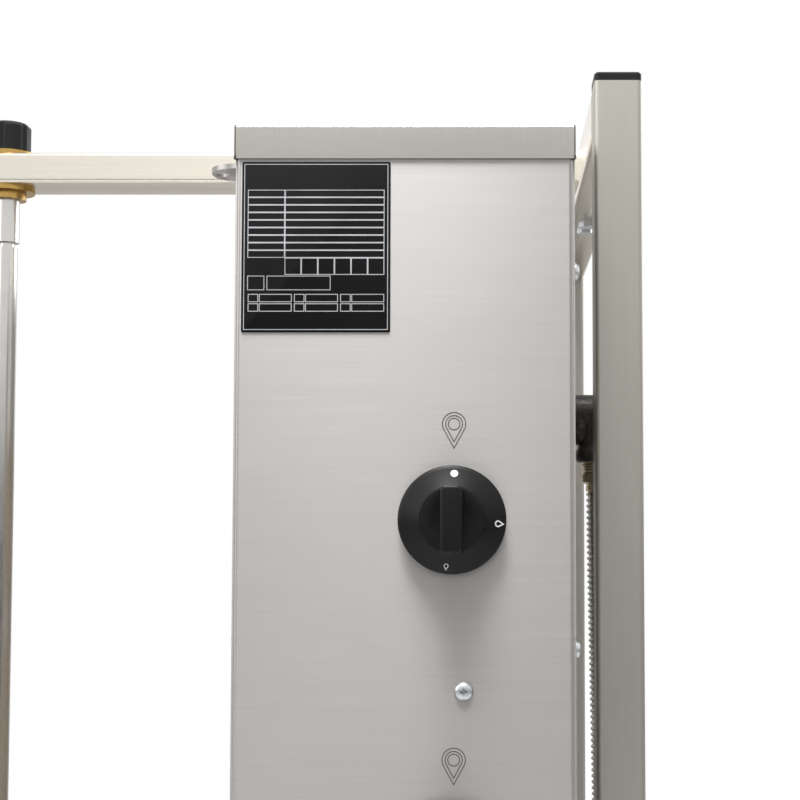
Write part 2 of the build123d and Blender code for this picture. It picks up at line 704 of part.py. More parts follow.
def control_panel():
    panel = side_panel(1)
    for z in KNOB_ZS:
        panel -= rod(STEM_HOLE_R, (PANEL_X - SHEET, KNOB_Y, z), OUT, SHEET)
    for y, z in panel_screw_places():
        panel -= rod(SCREW_R + FIT_GAP, (PANEL_X - SHEET, y, z), OUT, SHEET)
    for z in rear_screw_heights():
        panel -= rear_screw_hole(1, z)
    return panel


def left_panel():
    panel = side_panel(-1)
    for z in rear_screw_heights():
        panel -= rear_screw_hole(-1, z)
    return panel


def rear_screw_heights():
    step = (SKIN_TOP - CASE_Z - REAR_SCREW_DROP) / REAR_SCREW_ROWS
    return [LID_Z - REAR_SCREW_DROP - i * step for i in range(REAR_SCREW_ROWS)]


def rear_screw_x(side):
    return MID_X + side * (CASE_WIDTH / 2 - REAR_SCREW_INSET)


def rear_screw_hole(side, z):
    start = (rear_screw_x(side), CASE_REAR + COVER_SHEET, z)
    return rod(SCREW_R + FIT_GAP, start, FORWARD, COVER_SHEET + SHEET)


def rear_cover():
    across = around(MID_X, CASE_WIDTH / 2 - COVER_INSET)
    cover = block(across, (CASE_REAR, CASE_REAR + COVER_SHEET), (CASE_Z, SKIN_TOP))
    cover -= rod(BEAD_R + 3 * HOLE_GAP, (GAS_X, CASE_REAR, ELBOW_Z), REARWARD, COVER_SHEET)
    for side in (-1, 1):
        for z in rear_screw_heights():
            cover -= rear_screw_hole(side, z)
    middle = Plane(origin=(MID_X, CASE_REAR + COVER_SHEET, ELBOW_Z), x_dir=OUT, z_dir=FORWARD)
    slots = GridLocations(0, SLOT_PITCH, 1, SLOT_COUNT) * SlotOverall(SLOT_LENGTH, SLOT_WIDTH)
    return cover - extrude(middle * (Sketch() + slots), amount=COVER_SHEET)


def lid():
    """A folded tray over the top of the case, seamed at its corners."""
    outer_x = around(MID_X, CASE_WIDTH / 2 + LID_OVER)
    outer_y = (CASE_FRONT - LID_OVER, CASE_REAR + LID_OVER)
    tray = block(outer_x, outer_y, (LID_Z - LID_DROP, LID_Z))
    tray = fillet(tray.edges().group_by(Axis.Z)[-1], LID_SHEET)
    inner_x = around(MID_X, CASE_WIDTH / 2 + SEAT_GAP)
    inner_y = (CASE_FRONT - SEAT_GAP, CASE_REAR + SEAT_GAP)
    return tray - block(inner_x, inner_y, (LID_Z - LID_DROP, LID_Z - LID_SHEET))


def case_floor():
    across = around(MID_X, CASE_WIDTH / 2 - SHEET - FIT_GAP)
    plate = block(across, (CASE_FRONT + SHEET, CASE_REAR - SHEET), (CASE_Z, CASE_Z + SHEET))
    return fillet(plate.edges().filter_by(Axis.Z), BEND_R)


def window(z):
    """The span of a burner's window across and up the front."""
    half_width = BURNER_WIDTH / 2 - WINDOW_LIP
    half_height = BURNER_HEIGHT / 2 - WINDOW_LIP
    return around(MID_X, half_width), around(z, half_height)


def front_frame():
    across = around(MID_X, CASE_WIDTH / 2 - COVER_INSET)
    face = block(across, (FACE_Y, CASE_FRONT), (CASE_Z, SKIN_TOP))
    for z in KNOB_ZS:
        open_x, open_z = window(z)
        face -= block(open_x, (FACE_Y, CASE_FRONT), open_z)
    return face


def guard_mesh():
    """A flat grille over the three windows, carried by the front face."""
    low = KNOB_ZS[-1] - BURNER_HEIGHT / 2
    high = KNOB_ZS[0] + BURNER_HEIGHT / 2
    height = high - low
    step_x = (BURNER_WIDTH - 2 * GUARD_BORDER) / GUARD_COLUMNS
    step_z = (height - 2 * GUARD_BORDER) / GUARD_ROWS
    gap = Rectangle(step_x - GUARD_BAR, step_z - GUARD_BAR)
    net = Rectangle(BURNER_WIDTH, height) - GridLocations(step_x, step_z, GUARD_COLUMNS, GUARD_ROWS) * gap
    face = Plane(origin=(MID_X, FACE_Y, (low + high) / 2), x_dir=OUT, z_dir=FORWARD)
    return extrude(face * net, amount=GUARD_THICKNESS)


def burner(z):
    """An open steel tray with a mixing tube on its back."""
    rear = CASE_FRONT + BURNER_DEPTH
    tray_x = around(MID_X, BURNER_WIDTH / 2)
    tray_z = around(z, BURNER_HEIGHT / 2)
    tray = block(tray_x, (CASE_FRONT, rear), tray_z)
    hollow_x = around(MID_X, BURNER_WIDTH / 2 - SHEET)
    tray -= block(hollow_x, (CASE_FRONT, rear - SHEET), around(z, BURNER_HEIGHT / 2 - SHEET))
    tube_y = venturi_y()
    tube = rod(VENTURI_R, (venturi_mouth(), tube_y, z), INWARD, VENTURI_LENGTH)
    flare = Plane(origin=(venturi_mouth(), tube_y, z), z_dir=INWARD) * Circle(VENTURI_FLARE_R)
    throat = Plane(origin=(venturi_mouth() - VENTURI_FLARE, tube_y, z), z_dir=INWARD) * Circle(VENTURI_R)
    tube += loft([flare, throat])
    foot_x = venturi_mouth() - VENTURI_LENGTH
    tube += block((foot_x, foot_x + VENTURI_FOOT), (rear, tube_y), around(z, VENTURI_R))
    bore = rod(VENTURI_R - SHEET, (venturi_mouth(), tube_y, z), INWARD, VENTURI_LENGTH - SHEET)
    return tray + (tube - bore)


def venturi_mouth():
    return GAS_X - PIPE_R - INJECTOR


def venturi_y():
    return CASE_FRONT + BURNER_DEPTH + VENTURI_FLARE_R + SEAT_GAP


def tiles(z):
    """Ceramic plaques that fill the front of a burner tray."""
    half_width = BURNER_WIDTH / 2 - SHEET - SEAT_GAP
    half_height = BURNER_HEIGHT / 2 - SHEET - SEAT_GAP
    xs, step_x = spread(MID_X - half_width, MID_X + half_width, TILE_COLUMNS)
    zs, step_z = spread(z - half_height, z + half_height, TILE_ROWS)
    depth = (CASE_FRONT + TILE_SETBACK, CASE_FRONT + TILE_SETBACK + TILE_DEPTH)
    plaque = (step_x - TILE_GAP) / 2, (step_z - TILE_GAP) / 2
    plaques = []
    for x in xs:
        for low in zs:
            plaques.append(block(around(x + step_x / 2, plaque[0]), depth, around(low + step_z / 2, plaque[1])))
    return Part() + plaques


def gas_manifold():
    """An upright pipe with a boss for each valve, fed from the elbow behind the case."""
    low = KNOB_ZS[-1] - MANIFOLD_TAIL
    pipe = rod(PIPE_R, (GAS_X, KNOB_Y, low), UP, ELBOW_Z + MANIFOLD_TAIL - low)
    feed_end = HOSE_Y - ELBOW_ARM
    pipe += rod(PIPE_R, (GAS_X, KNOB_Y, ELBOW_Z), REARWARD, feed_end - KNOB_Y - SEAT_GAP)
    pipe += rod(THREAD_R, (GAS_X, KNOB_Y, ELBOW_Z), REARWARD, feed_end - KNOB_Y + SOCKET_DEPTH)
    for z in KNOB_ZS:
        pipe += rod(BOSS_R, (GAS_X, KNOB_Y, z), OUT, BOSS_OUT)
    return pipe


def valve(z):
    """A gas tap on the manifold: its stem slides and turns along X."""
    seat = GAS_X + BOSS_OUT
    body = rod(VALVE_R, (seat, KNOB_Y, z), OUT, SEAT_X - seat)
    body += hex_bar_across(seat, z)
    body -= rod(STEM_R + RUN_GAP, (seat, KNOB_Y, z), OUT, SEAT_X - seat)
    body -= rod(CUP_R + FIT_GAP, (SEAT_X, KNOB_Y, z), INWARD, CUP_WELL)
    return body


def hex_bar_across(seat, z):
    """The spanner flats at the root of a gas tap."""
    section = RegularPolygon(radius=VALVE_R, side_count=6, major_radius=False)
    return extrude(Plane(origin=(seat, KNOB_Y, z), z_dir=OUT) * section, amount=VALVE_R)


def spring_cup(z):
    start = (SEAT_X, KNOB_Y, z)
    return rod(CUP_R, start, INWARD, CUP_HEIGHT) - rod(STEM_R + RUN_GAP, start, INWARD, CUP_HEIGHT)


def stem(z):
    """A tap stem from the valve through the panel into the knob, with a flat at the knob."""
    inner = GAS_X + BOSS_OUT + PUSH + SEAT_GAP
    knob_back = PANEL_X + KNOB_STANDOFF
    bar = rod(STEM_R, (inner, KNOB_Y, z), OUT, knob_back + STEM_IN_KNOB - inner)
    flat = (z + STEM_R / 2, z + STEM_R)
    return bar - block((knob_back, knob_back + STEM_IN_KNOB), around(KNOB_Y, STEM_R), flat)


def knob(z):
    """A gas knob: a dished skirt, a round hub and a grip bar across it."""
    outline = [
        (0, 0),
        (SKIRT_R, 0),
        (SKIRT_R, SKIRT_EDGE),
        (HUB_R, SKIRT_RISE),
        (HUB_R, HUB_HEIGHT),
        (0, HUB_HEIGHT),
    ]
    body = revolve(Plane.XZ * make_face(Polyline(*outline, close=True)), Axis.Z)
    rims = body.edges().filter_by(GeomType.CIRCLE)
    body = chamfer(rims.sort_by(Axis.Z)[1], SKIRT_EDGE / 3)
    body = chamfer(body.edges().filter_by(GeomType.CIRCLE).sort_by(Axis.Z)[-1], SKIRT_EDGE / 2)
    grip = Pos(0, 0, HUB_HEIGHT / 2) * RectangleRounded(GRIP_WIDTH, 2 * HUB_R, GRIP_WIDTH / 3)
    grip = extrude(grip, amount=KNOB_HEIGHT - HUB_HEIGHT / 2)
    grip = chamfer(grip.edges().group_by(Axis.Z)[-1], GRIP_BEVEL)
    body += grip
    bore = Circle(STEM_R + FIT_GAP)
    bore -= Pos(0, STEM_R) * Rectangle(2 * STEM_R, STEM_R - 2 * FIT_GAP)
    body -= extrude(bore, amount=STEM_IN_KNOB + FIT_GAP)
    face = Plane(origin=(PANEL_X + KNOB_STANDOFF, KNOB_Y, z), x_dir=REARWARD, z_dir=OUT)
    return face * body


def supply_pipes():
    """A bent tube from each tap to the mouth of its burner's mixing tube."""
    outlet_x = (GAS_X + BOSS_OUT + VALVE_R + SEAT_X - CUP_WELL) / 2
    pipes = []
    for z in KNOB_ZS:
        start = (outlet_x, KNOB_Y - VALVE_R - SEAT_GAP, z)
        corner = (outlet_x, venturi_y(), z)
        end = (venturi_mouth() + INJECTOR, venturi_y(), z)
        path = FilletPolyline(start, corner, end, radius=FEED_BEND)
        tube = sweep(Plane(origin=start, z_dir=FORWARD) * Circle(FEED_R), path)
        tube += rod(INJECTOR_R, end, INWARD, INJECTOR)
        pipes.append(tube)
    return Part() + pipes


def elbow():
    """A malleable-iron elbow with a raised bead round each mouth."""
    centre = (GAS_X, HOSE_Y, ELBOW_Z)
    body = Pos(*centre) * Sphere(ELBOW_R)
    for axis in (FORWARD, DOWN):
        mouth = Vector(*centre) + Vector(*axis) * (ELBOW_ARM - BEAD_WIDTH)
        bead = rod(BEAD_R, mouth, axis, BEAD_WIDTH)
        body += rod(ELBOW_R, centre, axis, ELBOW_ARM)
        body += chamfer(bead.edges().filter_by(GeomType.CIRCLE), BEAD_WIDTH / 6)
    for axis in (FORWARD, DOWN):
        socket = Vector(*centre) + Vector(*axis) * (ELBOW_ARM - SOCKET_DEPTH)
        body -= rod(PIPE_BORE_R, centre, axis, ELBOW_ARM)
        body -= rod(THREAD_R + FIT_GAP, socket, axis, SOCKET_DEPTH)
    return body


def nipple():
    start = (GAS_X, HOSE_Y, NIPPLE_END)
    length = NIPPLE_SHOW + SOCKET_DEPTH - FIT_GAP
    return rod(THREAD_R, start, UP, length) - rod(PIPE_BORE_R, start, UP, length)


def union_nut(start, axis):
    """A hexagon nut and the plain sleeve that holds the hose end."""
    sleeve_start = Vector(*start) + Vector(*axis) * NUT_HEIGHT
    nut = hex_bar(NUT_FLATS, start, axis, NUT_HEIGHT) + rod(SLEEVE_R, sleeve_start, axis, SLEEVE_HEIGHT)
    return nut - rod(HOSE_BORE_R, start, axis, NUT_HEIGHT + SLEEVE_HEIGHT)


def gas_hose():
    """A corrugated steel hose with a slight bow, upright where it meets its nuts."""
    straight = 2 * HOSE_CREST_R
    low = HOSE_FOOT + straight
    high = HOSE_TOP - straight

    def ring(z, radius):
        along = min(max((z - low) / (high - low), 0), 1)
        bow = HOSE_BOW * (1 - cos(2 * pi * along)) / 2
        return Plane(origin=(GAS_X, HOSE_Y + bow, z), x_dir=OUT, z_dir=UP) * Circle(radius)

    starts, pitch = spread(HOSE_FOOT, HOSE_TOP, HOSE_RIBS)
    quarter = pitch / 4
    profile = []
    for z in starts:
        profile.append(ring(z, HOSE_VALLEY_R))
        profile.append(ring(z + quarter, HOSE_VALLEY_R))
        profile.append(ring(z + 2 * quarter, HOSE_CREST_R))
        profile.append(ring(z + 3 * quarter, HOSE_CREST_R))
    profile.append(ring(HOSE_TOP, HOSE_VALLEY_R))
    steps, rise = spread(HOSE_FOOT, HOSE_TOP, HOSE_BORE_STEPS)
    bore = [ring(z, HOSE_BORE_R) for z in steps + [HOSE_TOP]]
    return loft(profile, ruled=True) - loft(bore, ruled=True)


def gas_inlet():
    """The bulkhead fitting that brings gas through the base to the foot of the hose."""
    corner = (GAS_X, HOSE_Y, INLET_Z)
    end = BASE_REAR + INLET_REACH
    thread = BASE_REAR + INLET_FLANGE + INLET_RELIEF
    fitting = Pos(*corner) * Sphere(INLET_PIPE_R)
    fitting += rod(INLET_PIPE_R, corner, UP, INLET_TOP - INLET_Z)
    fitting += rod(INLET_PIPE_R, corner, REARWARD, thread - HOSE_Y)
    fitting += rod(THREAD_R, (GAS_X, thread, INLET_Z), REARWARD, end - thread)
    fitting += rod(INLET_COLLAR_R, (GAS_X, BASE_REAR, INLET_Z), REARWARD, INLET_FLANGE)
    fitting += rod(INLET_COLLAR_R, (GAS_X, HOSE_Y, DECK_Z), UP, INLET_COLLAR)
    fitting -= rod(HOSE_BORE_R, corner, UP, INLET_TOP - INLET_Z)
    return fitting - rod(HOSE_BORE_R, corner, REARWARD, end - HOSE_Y)


def wing_lugs():
    """Drilled tabs at the corners of the front face, for the pins of side wings."""
    lugs = []
    for side in (-1, 1):
        for z in (CASE_Z, SKIN_TOP - LUG_THICKNESS):
            middle = MID_X + side * (CASE_WIDTH / 2 - LUG_INSET - LUG_WIDTH / 2)
            tab = Pos(middle, FACE_Y - lug_length() / 2) * Rectangle(LUG_WIDTH, lug_length())
            tab = fillet(tab.vertices().sort_by(Axis.Y)[:2], LUG_CORNER_R)
            tab -= Pos(middle, CASE_FRONT - LUG_HOLE_OUT) * Circle(LUG_HOLE_R)
            lugs.append(Pos(0, 0, z) * extrude(tab, amount=LUG_THICKNESS))
    return Part() + lugs


def lug_length():
    return LUG_REACH - COVER_SHEET


def pan_screw(seat, axis):
    """A pan-head screw whose head sits on a face and whose shank goes back through it."""
    head = rod(SCREW_HEAD_R, seat, axis, SCREW_HEAD)
    along = Axis(seat, axis)
    head = chamfer(head.edges().filter_by(GeomType.CIRCLE).sort_by(along)[-1], SCREW_HEAD / 2)
    return head + rod(SCREW_R, seat, Vector(*axis) * -1, SCREW_LENGTH)


def panel_screws():
    return Part() + [pan_screw((PANEL_X, y, z), OUT) for y, z in panel_screw_places()]


def rear_screws():
    seats = [(rear_screw_x(side), CASE_REAR + COVER_SHEET, z) for side in (-1, 1) for z in rear_screw_heights()]
    return Part() + [pan_screw(seat, REARWARD) for seat in seats]


def rating_plate():
    front = CASE_FRONT + PLATE_INSET
    top = LID_Z - LID_DROP - PLATE_DROP
    face = (PANEL_X, PANEL_X + PLATE_THICKNESS)
    return block(face, (front, front + PLATE_WIDTH), (top - PLATE_HEIGHT, top))


def nodes():
    """Every piece of the machine by name."""
    pieces = {
        "feet": feet(),
        "base_floor": base_floor(),
        "base_walls": base_walls(),
        "base_deck": base_deck(),
        "drip_pan": drip_pan(),
        "drawer_guides": drawer_guides(),
        "grease_drawer": grease_drawer(),
        "drawer_handle": drawer_handle(),
        "slide_rails": slide_rails(),
        "right_post": post(1),
        "left_post": post(-1),
        "tube_caps": Part() + [post_caps(), arm_caps()],
        "crossbar": crossbar(),
        "spit_arm": spit_arm(),
        "arm_bolts": arm_bolts(),
        "top_bearing": top_bearing(),
        "top_pin": top_pin(),
        "pin_knob": pin_knob(),
        "spit_rod": spit_rod(),
        "spit_disc": spit_disc(),
        "drive_coupling": drive_coupling(),
        "motor_bracket": motor_bracket(),
        "gear_motor": gear_motor(),
        "cable_gland": cable_gland(),
        "switch_housing": switch_housing(),
        "motor_rocker": motor_rocker(),
        "control_panel": control_panel(),
        "left_panel": left_panel(),
        "rear_cover": rear_cover(),
        "lid": lid(),
        "case_floor": case_floor(),
        "front_frame": front_frame(),
        "guard_mesh": guard_mesh(),
        "ceramic_tiles": Part() + [tiles(z) for z in KNOB_ZS],
        "gas_manifold": gas_manifold(),
        "gas_valves": Part() + [valve(z) for z in KNOB_ZS],
        "supply_pipes": supply_pipes(),
        "elbow": elbow(),
        "nipple": nipple(),
        "hose_nut": union_nut((GAS_X, HOSE_Y, NIPPLE_END), DOWN),
        "gas_hose": gas_hose(),
        "inlet_nut": union_nut((GAS_X, HOSE_Y, INLET_TOP), UP),
        "gas_inlet": gas_inlet(),
        "runners": runners(),
        "wing_lugs": wing_lugs(),
        "case_screws": Part() + [panel_screws(), rear_screws()],
        "rating_plate": rating_plate(),
    }
    for number, z in enumerate(KNOB_ZS, start=1):
        pieces[f"burner_{number}"] = burner(z)
        pieces[f"spring_cup_{number}"] = spring_cup(z)
        pieces[f"stem_{number}"] = stem(z)
        pieces[f"knob_{number}"] = knob(z)
    return pieces


os.makedirs("parts", exist_ok=True)
for name, shape in nodes().items():
    export_step(shape, f"parts/{name}.step")
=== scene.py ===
import math

import bmesh
import bpy
from bpy.props import FloatProperty, FloatVectorProperty, IntProperty, PointerProperty
from mathutils import Matrix, Vector


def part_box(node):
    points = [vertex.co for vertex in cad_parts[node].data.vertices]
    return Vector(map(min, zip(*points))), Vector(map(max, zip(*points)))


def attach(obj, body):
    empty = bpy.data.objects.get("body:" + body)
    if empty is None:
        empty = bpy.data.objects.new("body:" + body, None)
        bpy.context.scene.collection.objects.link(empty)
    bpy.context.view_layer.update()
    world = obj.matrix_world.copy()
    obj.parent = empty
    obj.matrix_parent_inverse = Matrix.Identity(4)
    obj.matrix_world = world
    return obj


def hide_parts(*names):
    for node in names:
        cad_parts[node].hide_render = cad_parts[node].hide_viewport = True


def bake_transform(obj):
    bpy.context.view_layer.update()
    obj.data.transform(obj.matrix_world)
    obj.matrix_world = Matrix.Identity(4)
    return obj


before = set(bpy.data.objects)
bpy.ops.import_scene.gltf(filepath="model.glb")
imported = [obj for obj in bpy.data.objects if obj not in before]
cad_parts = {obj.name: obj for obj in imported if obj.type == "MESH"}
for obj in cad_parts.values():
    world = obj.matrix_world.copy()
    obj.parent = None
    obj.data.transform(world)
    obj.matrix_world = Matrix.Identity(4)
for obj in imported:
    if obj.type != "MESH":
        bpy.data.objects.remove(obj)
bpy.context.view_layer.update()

bl_info = {
    "name": "Doner kebab grill",
    "version": (1, 0, 0),
    "blender": (4, 5, 0),
    "location": "3D View > Sidebar > Grill",
    "description": "Dresses the packed doner kebab grill with finishes and detailed pieces",
    "category": "Object",
}

MM = 0.001
UP = Vector((0, 0, 1))
OUT = Vector((1, 0, 0))
REARWARD = Vector((0, 1, 0))
KNOB_NUMBERS = (1, 2, 3)
# The middle of a noise pattern, where nearly all of its values lie.
PATCH_SPAN = (0.3, 0.7)
PANEL_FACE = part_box("control_panel")[1].x
CASE_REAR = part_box("rear_cover")[1].y


def linear(text):
    """An sRGB hex value as linear red, green, blue and alpha."""
    values = [int(text[i:i + 2], 16) / 255 for i in (1, 3, 5)]
    return tuple(v / 12.92 if v <= 0.04045 else ((v + 0.055) / 1.055) ** 2.4 for v in values) + (1.0,)


def middle(node):
    """The middle of a node's box."""
    low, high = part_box(node)
    return (low + high) / 2


def colour(name, text, description):
    """A colour that a user can change, given as sRGB hex."""
    return FloatVectorProperty(
        name=name, description=description, default=linear(text), size=4, min=0, max=1, subtype="COLOR")


def length(name, millimetres, description):
    """A length that a user can change, given in millimetres."""
    return FloatProperty(name=name, description=description, default=millimetres * MM, min=0, unit="LENGTH")


class GrillFinishes(bpy.types.PropertyGroup):
    """Colours of the grill's finishes"""
    sheet: colour("Brushed sheet", "#B2AFAD", "Brushed stainless of the case and base")
    lid: colour("Lid", "#B4B1AB", "Brushed stainless of the folded lid")
    tube: colour("Square tube", "#B2AFA7", "Ground stainless of the posts")
    arm: colour("Spit arm", "#E6E0D4", "Polished stainless of the arm and crossbar")
    bright: colour("Bright stainless", "#D2D0CC", "Turned stainless of the spit and its fittings")
    zinc: colour("Zinc plate", "#D3D6D8", "Bright zinc plating of screws, rails and brackets")
    yellow_zinc: colour("Yellow zinc", "#D8CDB0", "Passivated zinc of the hose nuts")
    iron: colour("Black iron", "#363432", "Malleable iron of the elbow and pipes")
    brass: colour("Brass", "#C3A05E", "Valves and inlet")
    # This colour also paints the shadow of the gap under each lid corner, at the seams' swollen feet.
    weld: colour("Weld", "#6A645D", "Browned welds at the lid's corners")
    burner: colour("Burner steel", "#8D847A", "Aluminised steel of the burner boxes")
    ceramic: colour("Ceramic", "#D9C9B4", "Perforated ceramic of the burner plaques")
    plastic: colour("Black plastic", "#0E0E0F", "Moulded knobs, caps and switch")
    marks: colour("Printed marks", "#E9EAEC", "White marks on the knobs")
    etch: colour("Index marks", "#55524E", "Dark etched marks above the knobs")
    rocker: colour("Rocker", "#A81F1B", "Red motor switch")
    rubber: colour("Rubber", "#1C1B1B", "Feet")
    plate: colour("Rating plate", "#111113", "Black anodised plate")
    rules: colour("Plate rules", "#B9BABD", "Pale ruled boxes of the plate")
    paint: colour("Motor enamel", "#5B6268", "Enamel of the gear motor")


class GrillKnob(bpy.types.PropertyGroup):
    """Sizes of the gas knobs"""
    skirt_radius: length("Skirt radius", 32.4, "Radius of the skirt")
    hub_radius: length("Hub radius", 19.8, "Radius of the hub")
    grip_width: length("Grip width", 14.6, "Width of the grip bar at its foot")
    dot_radius: length("Dot radius", 2.3, "Radius of the white dot")
    flame_line: length("Flame line", 0.75, "Width of the flame outlines")


class GrillFittings(bpy.types.PropertyGroup):
    """Sizes of the screws, hose, guard and plate"""
    screw_radius: length("Screw head radius", 5.7, "Radius of the pan heads")
    recess_width: length("Recess width", 1.35, "Width of the cross recess")
    rib_pitch: length("Rib pitch", 3.8, "Spacing of the hose's ribs")
    rib_depth: length("Rib depth", 1.25, "Depth of the hose's ribs")
    hose_bow: length("Hose bow", 4.0, "How far the hose bows to the rear")
    thread_pitch: length("Thread pitch", 1.81, "Pitch of the gas threads")
    wire_radius: length("Guard wire radius", 0.85, "Radius of the guard's wires")
    guard_columns: IntProperty(
        name="Guard columns", description="Meshes across the guard", default=14, min=2)
    guard_rows: IntProperty(name="Guard rows", description="Meshes up the guard", default=7, min=2)
    plate_line: length("Plate line", 0.45, "Width of the plate's ruled lines")
    mark_line: length("Index mark line", 0.62, "Width of the index marks' lines")


class GrillStage(bpy.types.PropertyGroup):
    """Camera and light"""
    eye: FloatVectorProperty(
        name="Eye", description="Where the camera stands", default=(1.24175, 0.2624, 0.666),
        subtype="TRANSLATION")
    pitch: FloatProperty(
        name="Pitch", description="How far the camera looks up", default=math.radians(3.32),
        subtype="ANGLE")
    lens: FloatProperty(name="Lens", description="Focal length", default=68.4, subtype="DISTANCE_CAMERA")
    shift: FloatVectorProperty(
        name="Shift", description="Shift that frames the picture", default=(-0.11, 0.05), size=2)
    floor: colour("Floor", "#E6E6E6", "Pale studio floor")
    floor_radius: FloatProperty(
        name="Floor radius", description="Radius of the floor", default=2.4, unit="LENGTH")
    skirting: colour("Skirting", "#5C5B59", "Grey band that the metal reflects on the control side")
    far_skirting: colour("Far skirting", "#B4B3B1", "Grey band that the metal reflects on the far side")
    skirting_height: FloatProperty(
        name="Skirting height", description="Height of the grey band", default=0.85, unit="LENGTH")


def start():
    """Leaves edit mode and deselects everything, so that an operator acts on the new piece alone."""
    if bpy.context.mode != "OBJECT":
        bpy.ops.object.mode_set(mode="OBJECT")
    bpy.ops.object.select_all(action="DESELECT")


def hold(piece):
    """Makes the piece the only selected one, and active."""
    start()
    bpy.context.view_layer.objects.active = piece
    piece.select_set(True)


def edit(piece):
    """Opens the piece in edit mode with nothing selected."""
    hold(piece)
    bpy.ops.object.mode_set(mode="EDIT")
    bpy.ops.mesh.select_all(action="DESELECT")


def pick_faces(piece, test):
    """Selects the faces whose middle and normal pass the test."""
    bpy.ops.mesh.select_mode(type="FACE")
    bpy.ops.mesh.select_all(action="DESELECT")
    mesh = bmesh.from_edit_mesh(piece.data)
    for face in mesh.faces:
        face.select_set(bool(test(face.calc_center_median(), face.normal)))
    bmesh.update_edit_mesh(piece.data)


def pick_edges(piece, test):
    """Selects the edges whose middle and direction pass the test."""
    bpy.ops.mesh.select_mode(type="EDGE")
    bpy.ops.mesh.select_all(action="DESELECT")
    mesh = bmesh.from_edit_mesh(piece.data)
    for edge in mesh.edges:
        low, high = (corner.co for corner in edge.verts)
        edge.select_set(bool(test((low + high) / 2, (high - low).normalized())))
    bmesh.update_edit_mesh(piece.data)


def mend(piece):
    """Merges doubles and turns the faces outwards."""
    edit(piece)
    bpy.ops.mesh.select_all(action="SELECT")
    bpy.ops.mesh.remove_doubles(threshold=0.002 * MM)
    bpy.ops.mesh.normals_make_consistent(inside=False)
    bpy.ops.object.mode_set(mode="OBJECT")


def settle(piece):
    """Puts the piece's place into its mesh."""
    hold(piece)
    bpy.ops.object.transform_apply(location=True, rotation=True, scale=True)
    return piece


def apply(piece, kind, **settings):
    """Adds a modifier to the piece and applies it."""
    hold(piece)
    modifier = piece.modifiers.new(kind.title(), kind)
    for name, value in settings.items():
        setattr(modifier, name, value)
    bpy.ops.object.modifier_apply(modifier=modifier.name)


def combine(piece, tool, operation):
    """Joins the tool to the piece or cuts it out, and removes the tool."""
    apply(piece, "BOOLEAN", object=tool, operation=operation, solver="EXACT")
    bpy.data.objects.remove(tool, do_unlink=True)
    return piece


def join(pieces):
    """Several meshes as one object."""
    start()
    for piece in pieces:
        piece.select_set(True)
    bpy.context.view_layer.objects.active = pieces[0]
    if len(pieces) > 1:
        bpy.ops.object.join()
    return pieces[0]


def copy(piece, move):
    """A copy of the piece with its own mesh, moved by a vector or a matrix."""
    hold(piece)
    bpy.ops.object.duplicate(linked=False)
    twin = bpy.context.object
    twin.matrix_world = (Matrix.Translation(move) if isinstance(move, Vector) else move) @ twin.matrix_world
    return settle(twin)


def facing(axis, origin, upward=UP):
    """A place whose Z points along the axis and whose Y is nearest to upward."""
    z = axis.normalized()
    x = upward.cross(z).normalized()
    place = Matrix((x, z.cross(x), z)).transposed().to_4x4()
    place.translation = origin
    return place


def lathe(rings, sides, place, capped=True):
    """A turned shape: a filled circle drawn up ring by ring, (radius, height), and set in place."""
    start()
    radius, height = rings[0]
    bpy.ops.mesh.primitive_circle_add(
        vertices=sides, radius=radius, fill_type="NGON", location=(0, 0, height))
    piece = bpy.context.object
    settle(piece)
    bpy.ops.object.mode_set(mode="EDIT")
    bpy.ops.mesh.select_mode(type="FACE")
    bpy.ops.mesh.select_all(action="SELECT")
    for wide, high in rings[1:]:
        bpy.ops.mesh.extrude_region_move(TRANSFORM_OT_translate={"value": (0, 0, high - height)})
        grow = wide / radius
        bpy.ops.transform.resize(value=(grow, grow, 1), center_override=(0, 0, high))
        radius, height = wide, high
    if not capped:
        ends = (rings[0][1], high)
        pick_faces(piece, lambda point, normal: (
            abs(normal.z) > 0.99 and min(abs(point.z - end) for end in ends) < 1e-7))
        bpy.ops.mesh.delete(type="FACE")
    bpy.ops.object.mode_set(mode="OBJECT")
    mend(piece)
    piece.matrix_world = place
    return settle(piece)


def box(low, high):
    """A cube added at its size and place."""
    start()
    low, high = Vector(low), Vector(high)
    bpy.ops.mesh.primitive_cube_add(size=1, location=(low + high) / 2)
    piece = bpy.context.object
    piece.scale = high - low
    return settle(piece)


def dress(piece, name, material, body, slot, *nodes, smooth=32):
    """Names and smooths a piece, gives it its finish and hangs it on its body."""
    settle(piece)
    piece.name = piece.data.name = name
    bpy.ops.object.shade_smooth_by_angle(angle=math.radians(smooth))
    if material:
        piece.data.materials.clear()
        piece.data.materials.append(material)
    if nodes:
        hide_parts(*nodes)
    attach(piece, body)
    return piece


def add(tree, kind, inputs=(), **settings):
    """A node with its settings, its values and its links; inputs go by name or, in a tuple, by order."""
    node = tree.nodes.new(kind)
    for name, value in settings.items():
        setattr(node, name, value)
    for key, value in inputs.items() if isinstance(inputs, dict) else enumerate(inputs):
        if isinstance(value, bpy.types.NodeSocket):
            tree.links.new(value, node.inputs[key])
        else:
            node.inputs[key].default_value = value
    return node


def fresh(name):
    """A new material with an empty node tree."""
    material = bpy.data.materials.new(name)
    material.use_nodes = True
    material.node_tree.nodes.clear()
    return material, material.node_tree


def finish(name, family, base, *values, **more):
    """A material: the nodes that its family draws with, the one shader that they feed, and its output."""
    material, tree = fresh(name)
    tone, dull, bump, constants = family(tree, base, *values, **more)
    links = {
        "Base Color": tone.outputs[2], "Roughness": dull.outputs["Result"], "Normal": bump.outputs["Normal"]}
    shader = add(tree, "ShaderNodeBsdfPrincipled", {**constants, **links})
    add(tree, "ShaderNodeOutputMaterial", (shader.outputs["BSDF"],))
    return material


